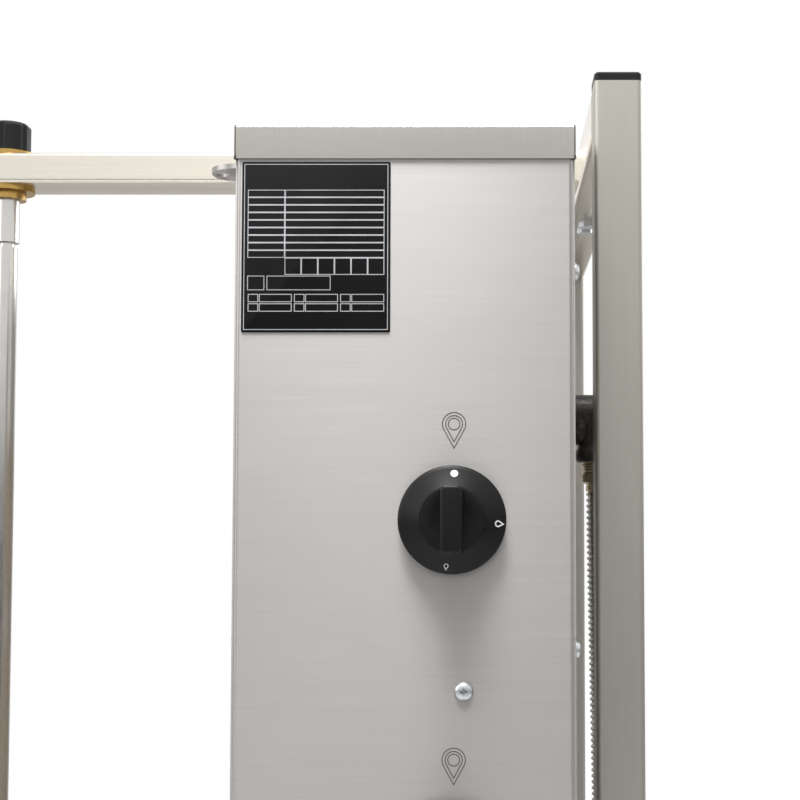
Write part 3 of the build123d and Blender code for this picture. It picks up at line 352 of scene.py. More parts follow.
def shade(value, factor):
    """A colour made darker or lighter."""
    return tuple(min(part * factor, 1.0) for part in value[:3]) + (1.0,)


def clouding(tree, size, detail=2.0, roughness=0.5):
    """Patches of size = (x, y, z) millimetres: the plain height, and a share from 0 to 1 of its middle."""
    place = add(tree, "ShaderNodeTexCoord").outputs["Object"]
    scale = [1 / (side * MM) for side in size]
    stretch = add(tree, "ShaderNodeMapping", {"Vector": place, "Scale": scale}).outputs["Vector"]
    values = {"Vector": stretch, "Scale": 1.0, "Detail": detail, "Roughness": roughness}
    height = add(tree, "ShaderNodeTexNoise", values).outputs["Fac"]
    share = add(tree, "ShaderNodeMapRange", (height, *PATCH_SPAN, 0, 1)).outputs["Result"]
    return height, share


def brushed(tree, base, grain, rough, anisotropic, turn):
    """Sheet or tube with a drawn grain: long fine lines, broad clouding, light smeared across the lines."""
    contrast, unevenness, line_depth = 0.03, 0.015, 0.0012 * MM
    lines, line_share = clouding(tree, grain, 3.0, 0.6)
    broad_share = clouding(tree, (170, 170, 240), 1.0)[1]
    tones = []
    for level in (0.95, 1.0):
        pair = {0: line_share, 6: shade(base, level - contrast), 7: shade(base, level + contrast)}
        tones.append(add(tree, "ShaderNodeMix", pair, data_type="RGBA").outputs[2])
    tone = add(tree, "ShaderNodeMix", {0: broad_share, 6: tones[0], 7: tones[1]}, data_type="RGBA")
    dull = add(tree, "ShaderNodeMapRange", (line_share, 0, 1, rough - unevenness, rough + unevenness))
    bump = add(tree, "ShaderNodeBump", {"Height": lines, "Distance": line_depth})
    smear = {"Anisotropic": anisotropic, "Anisotropic Rotation": turn}
    return tone, dull, bump, {"Metallic": 1.0, **smear}


def plated(tree, base, rough, spots=0.06):
    """Plated or turned metal: nearly even, with faint dull patches."""
    patch = clouding(tree, (14, 14, 14))[1]
    grit = clouding(tree, (0.8, 0.8, 0.8))[0]
    tone = add(tree, "ShaderNodeMix", {0: patch, 6: shade(base, 1 - spots), 7: base}, data_type="RGBA")
    dull = add(tree, "ShaderNodeMapRange", (patch, 0, 1, rough + 0.03, rough - 0.02))
    bump = add(tree, "ShaderNodeBump", {"Height": grit, "Distance": 0.002 * MM})
    return tone, dull, bump, {"Metallic": 1.0}


def moulded(tree, base, rough, grit=0.7, depth=0.02, specular=0.5):
    """Moulded plastic, rubber, print or enamel: a fine spark-eroded grit, slightly uneven gloss."""
    grain = clouding(tree, (grit, grit, grit))[0]
    patch = clouding(tree, (28, 28, 28))[1]
    pair = {0: patch, 6: shade(base, 0.85), 7: shade(base, 1.15)}
    tone = add(tree, "ShaderNodeMix", pair, data_type="RGBA")
    dull = add(tree, "ShaderNodeMapRange", (patch, 0, 1, rough - 0.05, rough + 0.07))
    bump = add(tree, "ShaderNodeBump", {"Height": grain, "Distance": depth * MM})
    return tone, dull, bump, {"Metallic": 0.0, "Specular IOR Level": specular}


def cast_iron(tree, base):
    """Malleable iron under black oxide: a cast skin with a soft dull shine."""
    skin, skin_share = clouding(tree, (2.4, 2.4, 2.4), 4.0, 0.6)
    pair = {0: skin_share, 6: shade(base, 0.6), 7: shade(base, 2.1)}
    tone = add(tree, "ShaderNodeMix", pair, data_type="RGBA")
    dull = add(tree, "ShaderNodeMapRange", (skin_share, 0, 1, 0.52, 0.32))
    bump = add(tree, "ShaderNodeBump", {"Height": skin, "Distance": 0.28 * MM})
    return tone, dull, bump, {"Metallic": 0.55}


def perforated(tree, base):
    """Ceramic plaque: chalky, with rows of small burner ports painted dark as the shade inside the holes,
    drawn at 4 mm so that they show.
    """
    # The ports' dark colour is painted shade: the shade inside each hole, laid on the flat plaque.
    port = linear("#2B241E")
    spacing = 4 * MM
    place = add(tree, "ShaderNodeTexCoord").outputs["Object"]
    scale = (1 / spacing, 0, 1 / spacing)
    grid = add(tree, "ShaderNodeMapping", {"Vector": place, "Scale": scale}).outputs["Vector"]
    values = {"Vector": grid, "Scale": 1.0, "Randomness": 0.0}
    reach = add(tree, "ShaderNodeTexVoronoi", values).outputs["Distance"]
    rim = add(tree, "ShaderNodeMapRange", (reach, 0.27, 0.36, 0, 1)).outputs["Result"]
    patch = clouding(tree, (35, 35, 35), 4.0)[1]
    chalk = add(tree, "ShaderNodeMix", {0: patch, 6: shade(base, 0.8), 7: base}, data_type="RGBA")
    tone = add(tree, "ShaderNodeMix", {0: rim, 6: port, 7: chalk.outputs[2]}, data_type="RGBA")
    grain = clouding(tree, (3, 3, 3))[1]
    dull = add(tree, "ShaderNodeMapRange", (grain, 0, 1, 0.8, 0.95))
    bump = add(tree, "ShaderNodeBump", {"Height": rim, "Distance": 0.8 * MM})
    return tone, dull, bump, {"Metallic": 0.0, "Specular IOR Level": 0.25}


def heated(tree, base):
    """Aluminised steel that has been hot: straw and blue tints over a grey spangle."""
    straw, blue = linear("#7C6A50"), linear("#6C7079")
    spangle, spangle_share = clouding(tree, (9, 9, 9), 1.0)
    pair = {0: spangle_share, 6: shade(base, 0.85), 7: shade(base, 1.1)}
    steel = add(tree, "ShaderNodeMix", pair, data_type="RGBA")
    tint = clouding(tree, (60, 60, 60))[1]
    hot = add(tree, "ShaderNodeMix", {0: tint, 6: straw, 7: blue}, data_type="RGBA")
    heat = clouding(tree, (110, 110, 90), 1.0)[0]
    share = add(tree, "ShaderNodeMapRange", (heat, 0.4, 0.65, 0, 0.7))
    layers = {0: share.outputs["Result"], 6: steel.outputs[2], 7: hot.outputs[2]}
    tone = add(tree, "ShaderNodeMix", layers, data_type="RGBA")
    dull = add(tree, "ShaderNodeMapRange", (spangle_share, 0, 1, 0.34, 0.46))
    bump = add(tree, "ShaderNodeBump", {"Height": spangle, "Distance": 0.03 * MM})
    return tone, dull, bump, {"Metallic": 0.9}


def all_finishes(tones):
    """Every finish of the grill by name."""
    return {
        # Brushed 304 sheet: a soft grey with lines along the sheet, 0.9 mm where they are 0.2 mm, so that
        # they show, and highlights smeared across them.
        "sheet": finish("brushed_stainless_sheet", brushed, tones.sheet, (70, 70, 0.9), 0.44, 0.8, 0.25),
        "deck": finish("brushed_stainless_deck", brushed, tones.sheet, (70, 0.9, 70), 0.40, 0.5, 0.0),
        "lid": finish("brushed_stainless_lid", brushed, tones.lid, (70, 1.0, 70), 0.36, 0.75, 0.0),
        # Ground tube: the belt runs along the tube, so the lines do too; the arm is the brightest.
        "post": finish("ground_stainless_post", brushed, tones.tube, (0.9, 0.9, 80), 0.5, 0.0, 0.0),
        "bar": finish("ground_stainless_bar", brushed, tones.arm, (80, 0.9, 0.9), 0.24, 0.6, 0.25),
        "arm": finish("ground_stainless_arm", brushed, tones.arm, (0.9, 80, 0.9), 0.26, 0.6, 0.25),
        # Turned rod and pressed discs: brighter and smoother than the sheet.
        "bright": finish("turned_stainless", plated, tones.bright, 0.24, 0.03),
        # Formed hose: the same steel made darker and more patchy, with sharp glints on its ribs.
        "hose": finish("corrugated_stainless", plated, shade(tones.bright, 0.72), 0.26, 0.16),
        # Zinc plate: pale and slightly blue, or yellowed by its passivation.
        "zinc": finish("zinc_plated_steel", plated, tones.zinc, 0.38),
        "yellow_zinc": finish("yellow_zinc_plated_steel", plated, tones.yellow_zinc, 0.30, 0.18),
        # Black malleable iron: a grainy cast skin that shines dully.
        "iron": finish("black_malleable_iron", cast_iron, tones.iron),
        # Machined brass: warm and smooth, with dull patches.
        "brass": finish("machined_brass", plated, tones.brass, 0.24, 0.14),
        # Burner boxes: a grey spangle tinted straw and blue by the heat.
        "burner": finish("aluminised_burner_steel", heated, tones.burner),
        # Weld along the lid's corners: dull and browned by the heat. The same dark finish colours the
        # swollen foot of each seam, a painted shadow of the gap under the lid's corner.
        "weld": finish("browned_weld_and_gap_shade", plated, tones.weld, 0.5, 0.3),
        # Fired ceramic: chalky and warm, with its ports painted dark as the shade inside them.
        "ceramic": finish("perforated_ceramic", perforated, tones.ceramic),
        # Moulded plastic: near black with a satin sheen, and a glossier red for the rocker.
        "plastic": finish("black_moulded_plastic", moulded, tones.plastic, 0.42, specular=0.26),
        "rocker": finish("red_moulded_plastic", moulded, tones.rocker, 0.3, depth=0.006),
        # Pad print and etching: flat, thin and without shine.
        "marks": finish("white_pad_print", moulded, tones.marks, 0.5, depth=0.004),
        "etch": finish("dark_etching", moulded, tones.etch, 0.6, depth=0.01),
        "rules": finish("pale_plate_print", moulded, tones.rules, 0.5, depth=0.003),
        # Rubber feet: dull, with a coarser grit.
        "rubber": finish("black_rubber", moulded, tones.rubber, 0.75, 1.2, 0.05, 0.3),
        # Anodised plate: deep black that hardly shines.
        "plate": finish("black_anodised_plate", moulded, tones.plate, 0.55, 0.5, 0.006, 0.12),
        # Motor enamel: grey, with the slight orange peel of sprayed paint.
        "paint": finish("grey_motor_enamel", moulded, tones.paint, 0.38, 2.5, 0.05),
    }


FINISHES = {}

NODE_FINISHES = {
    "sheet": ("control_panel", "left_panel", "rear_cover", "front_frame", "base_walls", "grease_drawer"),
    "deck": ("base_deck", "base_floor", "case_floor", "drip_pan", "drawer_guides"),
    "post": ("right_post", "left_post"),
    "bar": ("crossbar",),
    "arm": ("spit_arm",),
    "bright": ("spit_rod", "spit_disc", "top_pin", "drive_coupling", "drawer_handle"),
    "zinc": (
        "arm_bolts", "slide_rails", "runners", "motor_bracket", "spring_cup_1", "spring_cup_2",
        "spring_cup_3"),
    "iron": ("supply_pipes", "gas_manifold"),
    "brass": ("gas_valves", "gas_inlet", "top_bearing", "stem_1", "stem_2", "stem_3"),
    "burner": ("burner_1", "burner_2", "burner_3"),
    "ceramic": ("ceramic_tiles",),
    "plastic": ("tube_caps", "pin_knob", "switch_housing", "cable_gland"),
    "rocker": ("motor_rocker",),
    "rubber": ("feet",),
    "paint": ("gear_motor",),
}


class GRILL_OT_finishes(bpy.types.Operator):
    """Makes the finishes and gives one to every node that keeps its own shape"""
    bl_idname = "grill.finishes"
    bl_label = "Finishes"

    def execute(self, context):
        FINISHES.update(all_finishes(context.scene.grill_finishes))
        for name, nodes in NODE_FINISHES.items():
            for node in nodes:
                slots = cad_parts[node].data.materials
                slots.clear()
                slots.append(FINISHES[name])
        return {"FINISHED"}


class GRILL_OT_stage(bpy.types.Operator):
    """Sets the camera at the photograph's angle, the soft lamps, the white world and the pale floor"""
    bl_idname = "grill.stage"
    bl_label = "Stage"

    def execute(self, context):
        stage = context.scene.grill_stage
        context.scene.view_settings.view_transform = "Standard"
        self.camera(context, stage)
        self.world(context)
        self.lamps()
        self.floor(stage)
        self.skirting(stage)
        return {"FINISHED"}

    def camera(self, context, stage):
        start()
        level = math.pi / 2
        bpy.ops.object.camera_add(location=stage.eye, rotation=(level + stage.pitch, 0, level))
        camera = context.object
        camera.name = "camera"
        camera.data.lens = stage.lens
        camera.data.shift_x, camera.data.shift_y = stage.shift
        context.scene.camera = camera

    def world(self, context):
        world = bpy.data.worlds.new("studio")
        context.scene.world = world
        world.use_nodes = True
        tree = world.node_tree
        tree.nodes.clear()
        path = add(tree, "ShaderNodeLightPath").outputs
        rays = (path["Is Camera Ray"], path["Is Glossy Ray"])
        seen = add(tree, "ShaderNodeMath", rays, operation="MAXIMUM")
        rays = (seen.outputs[0], path["Is Transmission Ray"])
        seen = add(tree, "ShaderNodeMath", rays, operation="MAXIMUM")
        ambient = 0.45
        light = add(tree, "ShaderNodeBackground", {"Color": (1, 1, 1, 1), "Strength": ambient})
        white = add(tree, "ShaderNodeBackground", {"Color": (1, 1, 1, 1), "Strength": 1.0})
        layers = (seen.outputs[0], light.outputs[0], white.outputs[0])
        mix = add(tree, "ShaderNodeMixShader", layers)
        add(tree, "ShaderNodeOutputWorld", (mix.outputs[0],))

    def lamps(self):
        """A key lamp over the control side and two broad fills: place, size and power."""
        target = Vector((0.1, 0.1, 0.55))
        lamps = {
            "key_lamp": ((0.95, 0.0, 2.6), 0.8, 57),
            "front_lamp": ((1.0, -2.6, 1.8), 2.0, 30),
            "rear_lamp": ((-1.6, 2.4, 2.0), 2.0, 30),
        }
        for name, (place, size, power) in lamps.items():
            start()
            turn = (target - Vector(place)).to_track_quat("-Z", "Y").to_euler()
            bpy.ops.object.light_add(type="AREA", location=place, rotation=turn)
            lamp = bpy.context.object
            lamp.name = name
            lamp.data.size = size
            lamp.data.energy = power

    def skirting(self, stage):
        """A low grey band round the studio, which only the metal's reflections show."""
        start()
        tall, reach = stage.skirting_height, stage.floor_radius
        bpy.ops.mesh.primitive_cylinder_add(
            vertices=64, radius=0.95 * reach, depth=tall, end_fill_type="NOTHING",
            location=(0, 0, tall / 2))
        band = bpy.context.object
        band.name = "skirting"
        material, tree = fresh("studio_skirting")
        place = add(tree, "ShaderNodeTexCoord").outputs["Object"]
        across = add(tree, "ShaderNodeSeparateXYZ", (place,)).outputs["X"]
        near = add(tree, "ShaderNodeMapRange", (across, -0.5 * reach, 0.5 * reach, 0, 1)).outputs["Result"]
        greys = {0: near, 6: stage.far_skirting, 7: stage.skirting}
        tone = add(tree, "ShaderNodeMix", greys, data_type="RGBA")
        glow = add(tree, "ShaderNodeEmission", {"Color": tone.outputs[2]})
        add(tree, "ShaderNodeOutputMaterial", (glow.outputs[0],))
        band.data.materials.append(material)
        band.visible_camera = band.visible_diffuse = band.visible_shadow = band.visible_transmission = False

    def floor(self, stage):
        start()
        bpy.ops.mesh.primitive_circle_add(vertices=96, radius=stage.floor_radius, fill_type="TRIFAN")
        floor = bpy.context.object
        floor.name = "floor"
        material, tree = fresh("studio_floor")
        place = add(tree, "ShaderNodeTexCoord").outputs["Object"]
        away = add(tree, "ShaderNodeVectorMath", (place,), operation="LENGTH").outputs["Value"]
        fade = (away, 0.45 * stage.floor_radius, 0.98 * stage.floor_radius, 1, 0)
        edge = add(tree, "ShaderNodeMapRange", fade).outputs["Result"]
        look = {"Metallic": 0.0, "Base Color": stage.floor, "Roughness": 0.9, "Alpha": edge}
        shader = add(tree, "ShaderNodeBsdfPrincipled", look)
        add(tree, "ShaderNodeOutputMaterial", (shader.outputs["BSDF"],))
        floor.data.materials.append(material)


def drop_ring(radius, tip, line, depth, sides=40):
    """A flat drop-shaped outline that lies on Z = 0, its point tip below its middle along -Y."""
    start()
    bpy.ops.mesh.primitive_circle_add(vertices=sides, radius=radius, fill_type="NGON")
    piece = bpy.context.object
    bpy.ops.object.mode_set(mode="EDIT")
    if tip > radius:
        mesh = bmesh.from_edit_mesh(piece.data)
        bpy.ops.mesh.select_mode(type="VERT")
        bpy.ops.mesh.select_all(action="DESELECT")
        for corner in mesh.verts:
            corner.select_set(corner.co.y < -radius * radius / tip)
        bmesh.update_edit_mesh(piece.data)
        bpy.ops.mesh.merge(type="CENTER")
        point = min(corner.co.y for corner in bmesh.from_edit_mesh(piece.data).verts)
        bpy.ops.transform.translate(value=(0, -tip - point, 0))
        bpy.ops.mesh.select_mode(type="FACE")
    bpy.ops.mesh.select_all(action="SELECT")
    bpy.ops.mesh.inset(thickness=line, use_boundary=True)
    bpy.ops.mesh.delete(type="FACE")
    bpy.ops.mesh.select_all(action="SELECT")
    bpy.ops.mesh.extrude_region_move(TRANSFORM_OT_translate={"value": (0, 0, depth)})
    bpy.ops.object.mode_set(mode="OBJECT")
    mend(piece)
    return piece


class GRILL_OT_knobs(bpy.types.Operator):
    """Models one gas knob with its printed marks and copies it to the other two"""
    bl_idname = "grill.knobs"
    bl_label = "Gas knobs"

    def execute(self, context):
        sizes = context.scene.grill_knob
        low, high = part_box("knob_1")
        centre = Vector((low.x, (low.y + high.y) / 2, (low.z + high.z) / 2))
        place = facing(OUT, centre)
        knob = self.body(sizes, high.x - low.x, place)
        marks = self.marks(sizes, place)
        for number in KNOB_NUMBERS:
            move = middle(f"knob_{number}") - middle("knob_1")
            body = f"gas_knob_{number}"
            twin = knob if number == 1 else copy(knob, move)
            print_twin = marks if number == 1 else copy(marks, move)
            dress(
                twin, f"knob_body_{number}", FINISHES["plastic"], body, "black_plastic", f"knob_{number}",
                smooth=38)
            dress(print_twin, f"knob_marks_{number}", FINISHES["marks"], body, "black_plastic")
        return {"FINISHED"}

    def body(self, sizes, height, place):
        wide, hub = sizes.skirt_radius, sizes.hub_radius
        edge = 4.0 * MM
        rise = 8.8 * MM
        rings = [
            (wide - 1.4 * MM, 0), (wide - 0.3 * MM, 0.4 * MM), (wide, 1.2 * MM),
            (wide, edge - 1.3 * MM), (wide - 0.35 * MM, edge - 0.5 * MM), (wide - 1.1 * MM, edge),
            (wide - 2.2 * MM, edge + 0.45 * MM),
            (hub + 0.9 * MM, rise - 0.2 * MM), (hub + 0.25 * MM, rise + 0.2 * MM), (hub, rise + 1 * MM),
            (hub - 0.2 * MM, 16.3 * MM), (hub - 0.4 * MM, 16.8 * MM), (hub - 0.9 * MM, 17 * MM),
            (hub - 7 * MM, 15.8 * MM), (hub - 12 * MM, 15.3 * MM),
        ]
        knob = lathe(rings, 72, place)
        half = sizes.grip_width / 2
        grip = box((-half, -hub - 0.3 * MM, 6 * MM), (half, hub + 0.3 * MM, height))
        edit(grip)
        pick_faces(grip, lambda point, normal: normal.z > 0.9)
        bpy.ops.transform.resize(value=(0.82, 0.97, 1), center_override=(0, 0, height))
        pick_edges(grip, lambda point, along: abs(along.z) > 0.9)
        bpy.ops.mesh.bevel(offset=2.6 * MM, segments=4, affect="EDGES")
        pick_edges(grip, lambda point, along: point.z > height - 0.1 * MM)
        bpy.ops.mesh.bevel(offset=1.5 * MM, segments=4, affect="EDGES")
        bpy.ops.object.mode_set(mode="OBJECT")
        grip.matrix_world = place
        settle(grip)
        return combine(knob, grip, "UNION")

    def marks(self, sizes, place):
        # The marks lie on the skirt's slope, seat from the axis and lift above the panel.
        slope = math.atan2(4.35, 10.0)
        seat, lift, ink = 27.4 * MM, 5.67 * MM, 0.2 * MM
        dot = lathe([(sizes.dot_radius, 0), (sizes.dot_radius, ink)], 32, Matrix())
        large = drop_ring(2.0 * MM, 4.2 * MM, sizes.flame_line, ink)
        small = drop_ring(1.4 * MM, 3.0 * MM, 0.55 * sizes.flame_line, ink)
        lean = Matrix.Translation((0, seat, lift)) @ Matrix.Rotation(-slope, 4, "X")
        flip = Matrix.Rotation(math.pi, 4, "Z")
        made = []
        for mark, degrees in ((dot, 3), (large, 95), (small, 187)):
            turn = Matrix.Rotation(-math.radians(degrees), 4, "Z")
            mark.matrix_world = place @ turn @ lean @ flip
            made.append(settle(mark))
        return join(made)


class GRILL_OT_index_marks(bpy.types.Operator):
    """Draws the etched drop above each knob, a double outline round a ring"""
    bl_idname = "grill.index_marks"
    bl_label = "Index marks"

    def execute(self, context):
        line = context.scene.grill_fittings.mark_line
        knob = middle("knob_1")
        place = facing(OUT, Vector((PANEL_FACE, knob.y + 1 * MM, knob.z + 57.5 * MM)))
        # Radius and reach of the tip in millimetres; the last is a plain ring.
        outlines = [(7.3, 15.1), (5.4, 11.3), (3.8, 3.8)]
        rings = [drop_ring(radius * MM, tip * MM, line, 0.06 * MM) for radius, tip in outlines]
        for ring in rings:
            ring.matrix_world = place
            settle(ring)
        mark = join(rings)
        for number in KNOB_NUMBERS:
            twin = mark if number == 1 else copy(mark, middle(f"knob_{number}") - knob)
            dress(twin, f"index_mark_{number}", FINISHES["etch"], "burner_unit", "black_plate")
        return {"FINISHED"}


class GRILL_OT_plate(bpy.types.Operator):
    """Models the rating plate with soft corners and its bare ruled boxes"""
    bl_idname = "grill.plate"
    bl_label = "Rating plate"

    def execute(self, context):
        line = context.scene.grill_fittings.plate_line
        low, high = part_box("rating_plate")
        plate = box(low, high)
        edit(plate)
        pick_edges(plate, lambda point, along: abs(along.x) > 0.9)
        bpy.ops.mesh.bevel(offset=1.2 * MM, segments=4, affect="EDGES")
        pick_edges(plate, lambda point, along: point.x > high.x - 0.05 * MM)
        bpy.ops.mesh.bevel(offset=0.2 * MM, segments=2, affect="EDGES")
        bpy.ops.object.mode_set(mode="OBJECT")
        dress(plate, "plate_body", FINISHES["plate"], "burner_unit", "black_plate", "rating_plate")
        rules = join([self.frame_line(low, high, cell, line) for cell in self.cells()])
        dress(rules, "plate_rules", FINISHES["rules"], "burner_unit", "black_plate")
        return {"FINISHED"}

    def cells(self):
        """The ruled boxes as shares of the plate: left, bottom, right, top."""
        cells = [(0.015, 0.013, 0.985, 0.987)]
        rows = 9
        top, foot = 0.835, 0.435
        tall = (top - foot) / rows
        for row in range(rows):
            cells.append((0.04, top - (row + 1) * tall, 0.29, top - row * tall))
            cells.append((0.29, top - (row + 1) * tall, 0.96, top - row * tall))
        for column in range(6):
            left = 0.29 + column * 0.67 / 6
            cells.append((left, 0.335, left + 0.67 / 6, 0.435))
        cells.append((0.04, 0.245, 0.155, 0.33))
        cells.append((0.17, 0.245, 0.60, 0.33))
        for column in range(3):
            left = 0.045 + column * 0.31
            for foot in (0.175, 0.12):
                cells.append((left, foot, left + 0.07, foot + 0.048))
                cells.append((left + 0.075, foot, left + 0.295, foot + 0.048))
        return cells

    def frame_line(self, low, high, cell, line):
        wide, tall = high.y - low.y, high.z - low.z
        left, foot, right, top = cell
        start()
        centre = (high.x, low.y + wide * (left + right) / 2, low.z + tall * (foot + top) / 2)
        bpy.ops.mesh.primitive_plane_add(size=1, location=centre, rotation=(math.pi / 2, 0, math.pi / 2))
        rule = bpy.context.object
        rule.scale = (wide * (right - left), tall * (top - foot), 1)
        settle(rule)
        bpy.ops.object.mode_set(mode="EDIT")
        bpy.ops.mesh.select_all(action="SELECT")
        bpy.ops.mesh.inset(thickness=line, use_boundary=True)
        bpy.ops.mesh.delete(type="FACE")
        bpy.ops.mesh.select_all(action="SELECT")
        bpy.ops.mesh.extrude_region_move(TRANSFORM_OT_translate={"value": (0.04 * MM, 0, 0)})
        bpy.ops.object.mode_set(mode="OBJECT")
        mend(rule)
        return rule


class GRILL_OT_screws(bpy.types.Operator):
    """Models one pan-head screw with a cross recess and copies it to its places on the case"""
    bl_idname = "grill.screws"
    bl_label = "Case screws"

    def execute(self, context):
        sizes = context.scene.grill_fittings
        radius = sizes.screw_radius
        rings = [
            (radius - 0.2 * MM, 0), (radius, 0.25 * MM), (radius, 0.9 * MM), (0.965 * radius, 1.6 * MM),
            (0.87 * radius, 2.4 * MM), (0.70 * radius, 3.05 * MM), (0.46 * radius, 3.45 * MM),
            (0.2 * radius, 3.58 * MM),
        ]
        head = lathe(rings, 48, Matrix())
        half, reach, floor = sizes.recess_width / 2, 0.46 * radius, 1.5 * MM
        for turn in (0, math.pi / 2):
            slot = box((-half, -reach, floor), (half, reach, 4.2 * MM))
            edit(slot)
            pick_faces(slot, lambda point, normal: normal.z < -0.9)
            bpy.ops.transform.resize(value=(0.6, 0.35, 1), center_override=(0, 0, floor))
            bpy.ops.object.mode_set(mode="OBJECT")
            slot.matrix_world = Matrix.Rotation(turn, 4, "Z")
            settle(slot)
            combine(head, slot, "DIFFERENCE")
        for number, (place, turn) in enumerate(self.places(), start=1):
            twin = copy(head, place @ Matrix.Rotation(math.radians(turn), 4, "Z"))
            nodes = ("case_screws",) if number == 1 else ()
            name = f"case_screw_{number}"
            dress(twin, name, FINISHES["zinc"], "burner_unit", "zinc_steel", *nodes, smooth=40)
        bpy.data.objects.remove(head, do_unlink=True)
        return {"FINISHED"}

    def places(self):
        """Where the heads sit and how far each was turned home, in degrees."""
        places = []
        for number in KNOB_NUMBERS:
            knob = middle(f"knob_{number}")
            seat = Vector((PANEL_FACE, knob.y + 7 * MM, knob.z - 102 * MM))
            places.append((facing(OUT, seat), 31 * number - 28))
        low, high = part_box("control_panel")
        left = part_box("left_panel")[0].x
        drop, inset = 87 * MM, 15 * MM
        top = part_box("lid")[1].z - drop
        step = (high.z - low.z - drop) / 3
        for x in (high.x - inset, left + inset):
            for row in range(3):
                seat = Vector((x, CASE_REAR, top - row * step))
                places.append((facing(REARWARD, seat), 17 + 40 * row))
        return places


class GRILL_OT_lid(bpy.types.Operator):
    """Folds the lid: a tray with tight bends, and a browned weld up each corner whose swollen dark foot is a
    painted shadow of the gap under the corner
    """
    bl_idname = "grill.lid"
    bl_label = "Lid"

    def execute(self, context):
        low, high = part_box("lid")
        wall = 1.2 * MM
        lid = box(low, high)
        edit(lid)
        pick_faces(lid, lambda point, normal: normal.z < -0.9)
        bpy.ops.mesh.delete(type="FACE")
        pick_edges(lid, lambda point, along: point.z > high.z - 0.1 * MM)
        bpy.ops.mesh.bevel(offset=0.7 * MM, segments=3, affect="EDGES")
        bpy.ops.object.mode_set(mode="OBJECT")
        apply(lid, "SOLIDIFY", thickness=wall, offset=-1)
        seams = []
        tall = high.z - low.z
        inset = 0.4 * MM
        # The seam swells at its foot, from 0.6 mm below the lid to a few millimetres up: this dark swelling
        # is a painted shadow of the gap under the lid's corner.
        rings = [
            (0.5 * MM, -0.6 * MM), (0.9 * MM, 0), (0.9 * MM, 0.9 * MM), (0.6 * MM, 3.4 * MM),
            (0.55 * MM, tall - 0.8 * MM), (0.45 * MM, tall + 0.2 * MM), (0.15 * MM, tall + 0.7 * MM),
        ]
        for x in (low.x + inset, high.x - inset):
            for y in (low.y + inset, high.y - inset):
                seams.append(lathe(rings, 12, Matrix.Translation((x, y, low.z))))
        dress(lid, "folded_lid", FINISHES["lid"], "burner_unit", "brushed_stainless", "lid")
        dress(join(seams), "lid_seams_and_gap_shade", FINISHES["weld"], "burner_unit", "brushed_stainless")
        return {"FINISHED"}


class GRILL_OT_lugs(bpy.types.Operator):
    """Models one drilled lug with a round end and copies it to the other corners of the case"""
    bl_idname = "grill.lugs"
    bl_label = "Wing lugs"

    def execute(self, context):
        low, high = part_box("wing_lugs")
        wide, thick, hole = 37 * MM, 3 * MM, 4.5 * MM
        lug = box((low.x, low.y, low.z), (low.x + wide, high.y, low.z + thick))
        edit(lug)
        pick_edges(lug, lambda point, along: abs(along.z) > 0.9 and point.y < low.y + 0.1 * MM)
        bpy.ops.mesh.bevel(offset=0.47 * wide, segments=14, affect="EDGES")
        bpy.ops.object.mode_set(mode="OBJECT")
        seat = Vector((low.x + wide / 2, low.y + 7 * MM, low.z - thick))
        combine(lug, lathe([(hole, 0), (hole, 3 * thick)], 32, Matrix.Translation(seat)), "DIFFERENCE")
        across = high.x - low.x - wide
        rise = high.z - low.z - thick
        moves = ((across, 0, 0), (0, 0, rise), (across, 0, rise))
        lugs = [lug] + [copy(lug, Vector(move)) for move in moves]
        for number, twin in enumerate(lugs, start=1):
            nodes = ("wing_lugs",) if number == 1 else ()
            dress(twin, f"wing_lug_{number}", FINISHES["sheet"], "burner_unit", "brushed_stainless", *nodes)
        return {"FINISHED"}


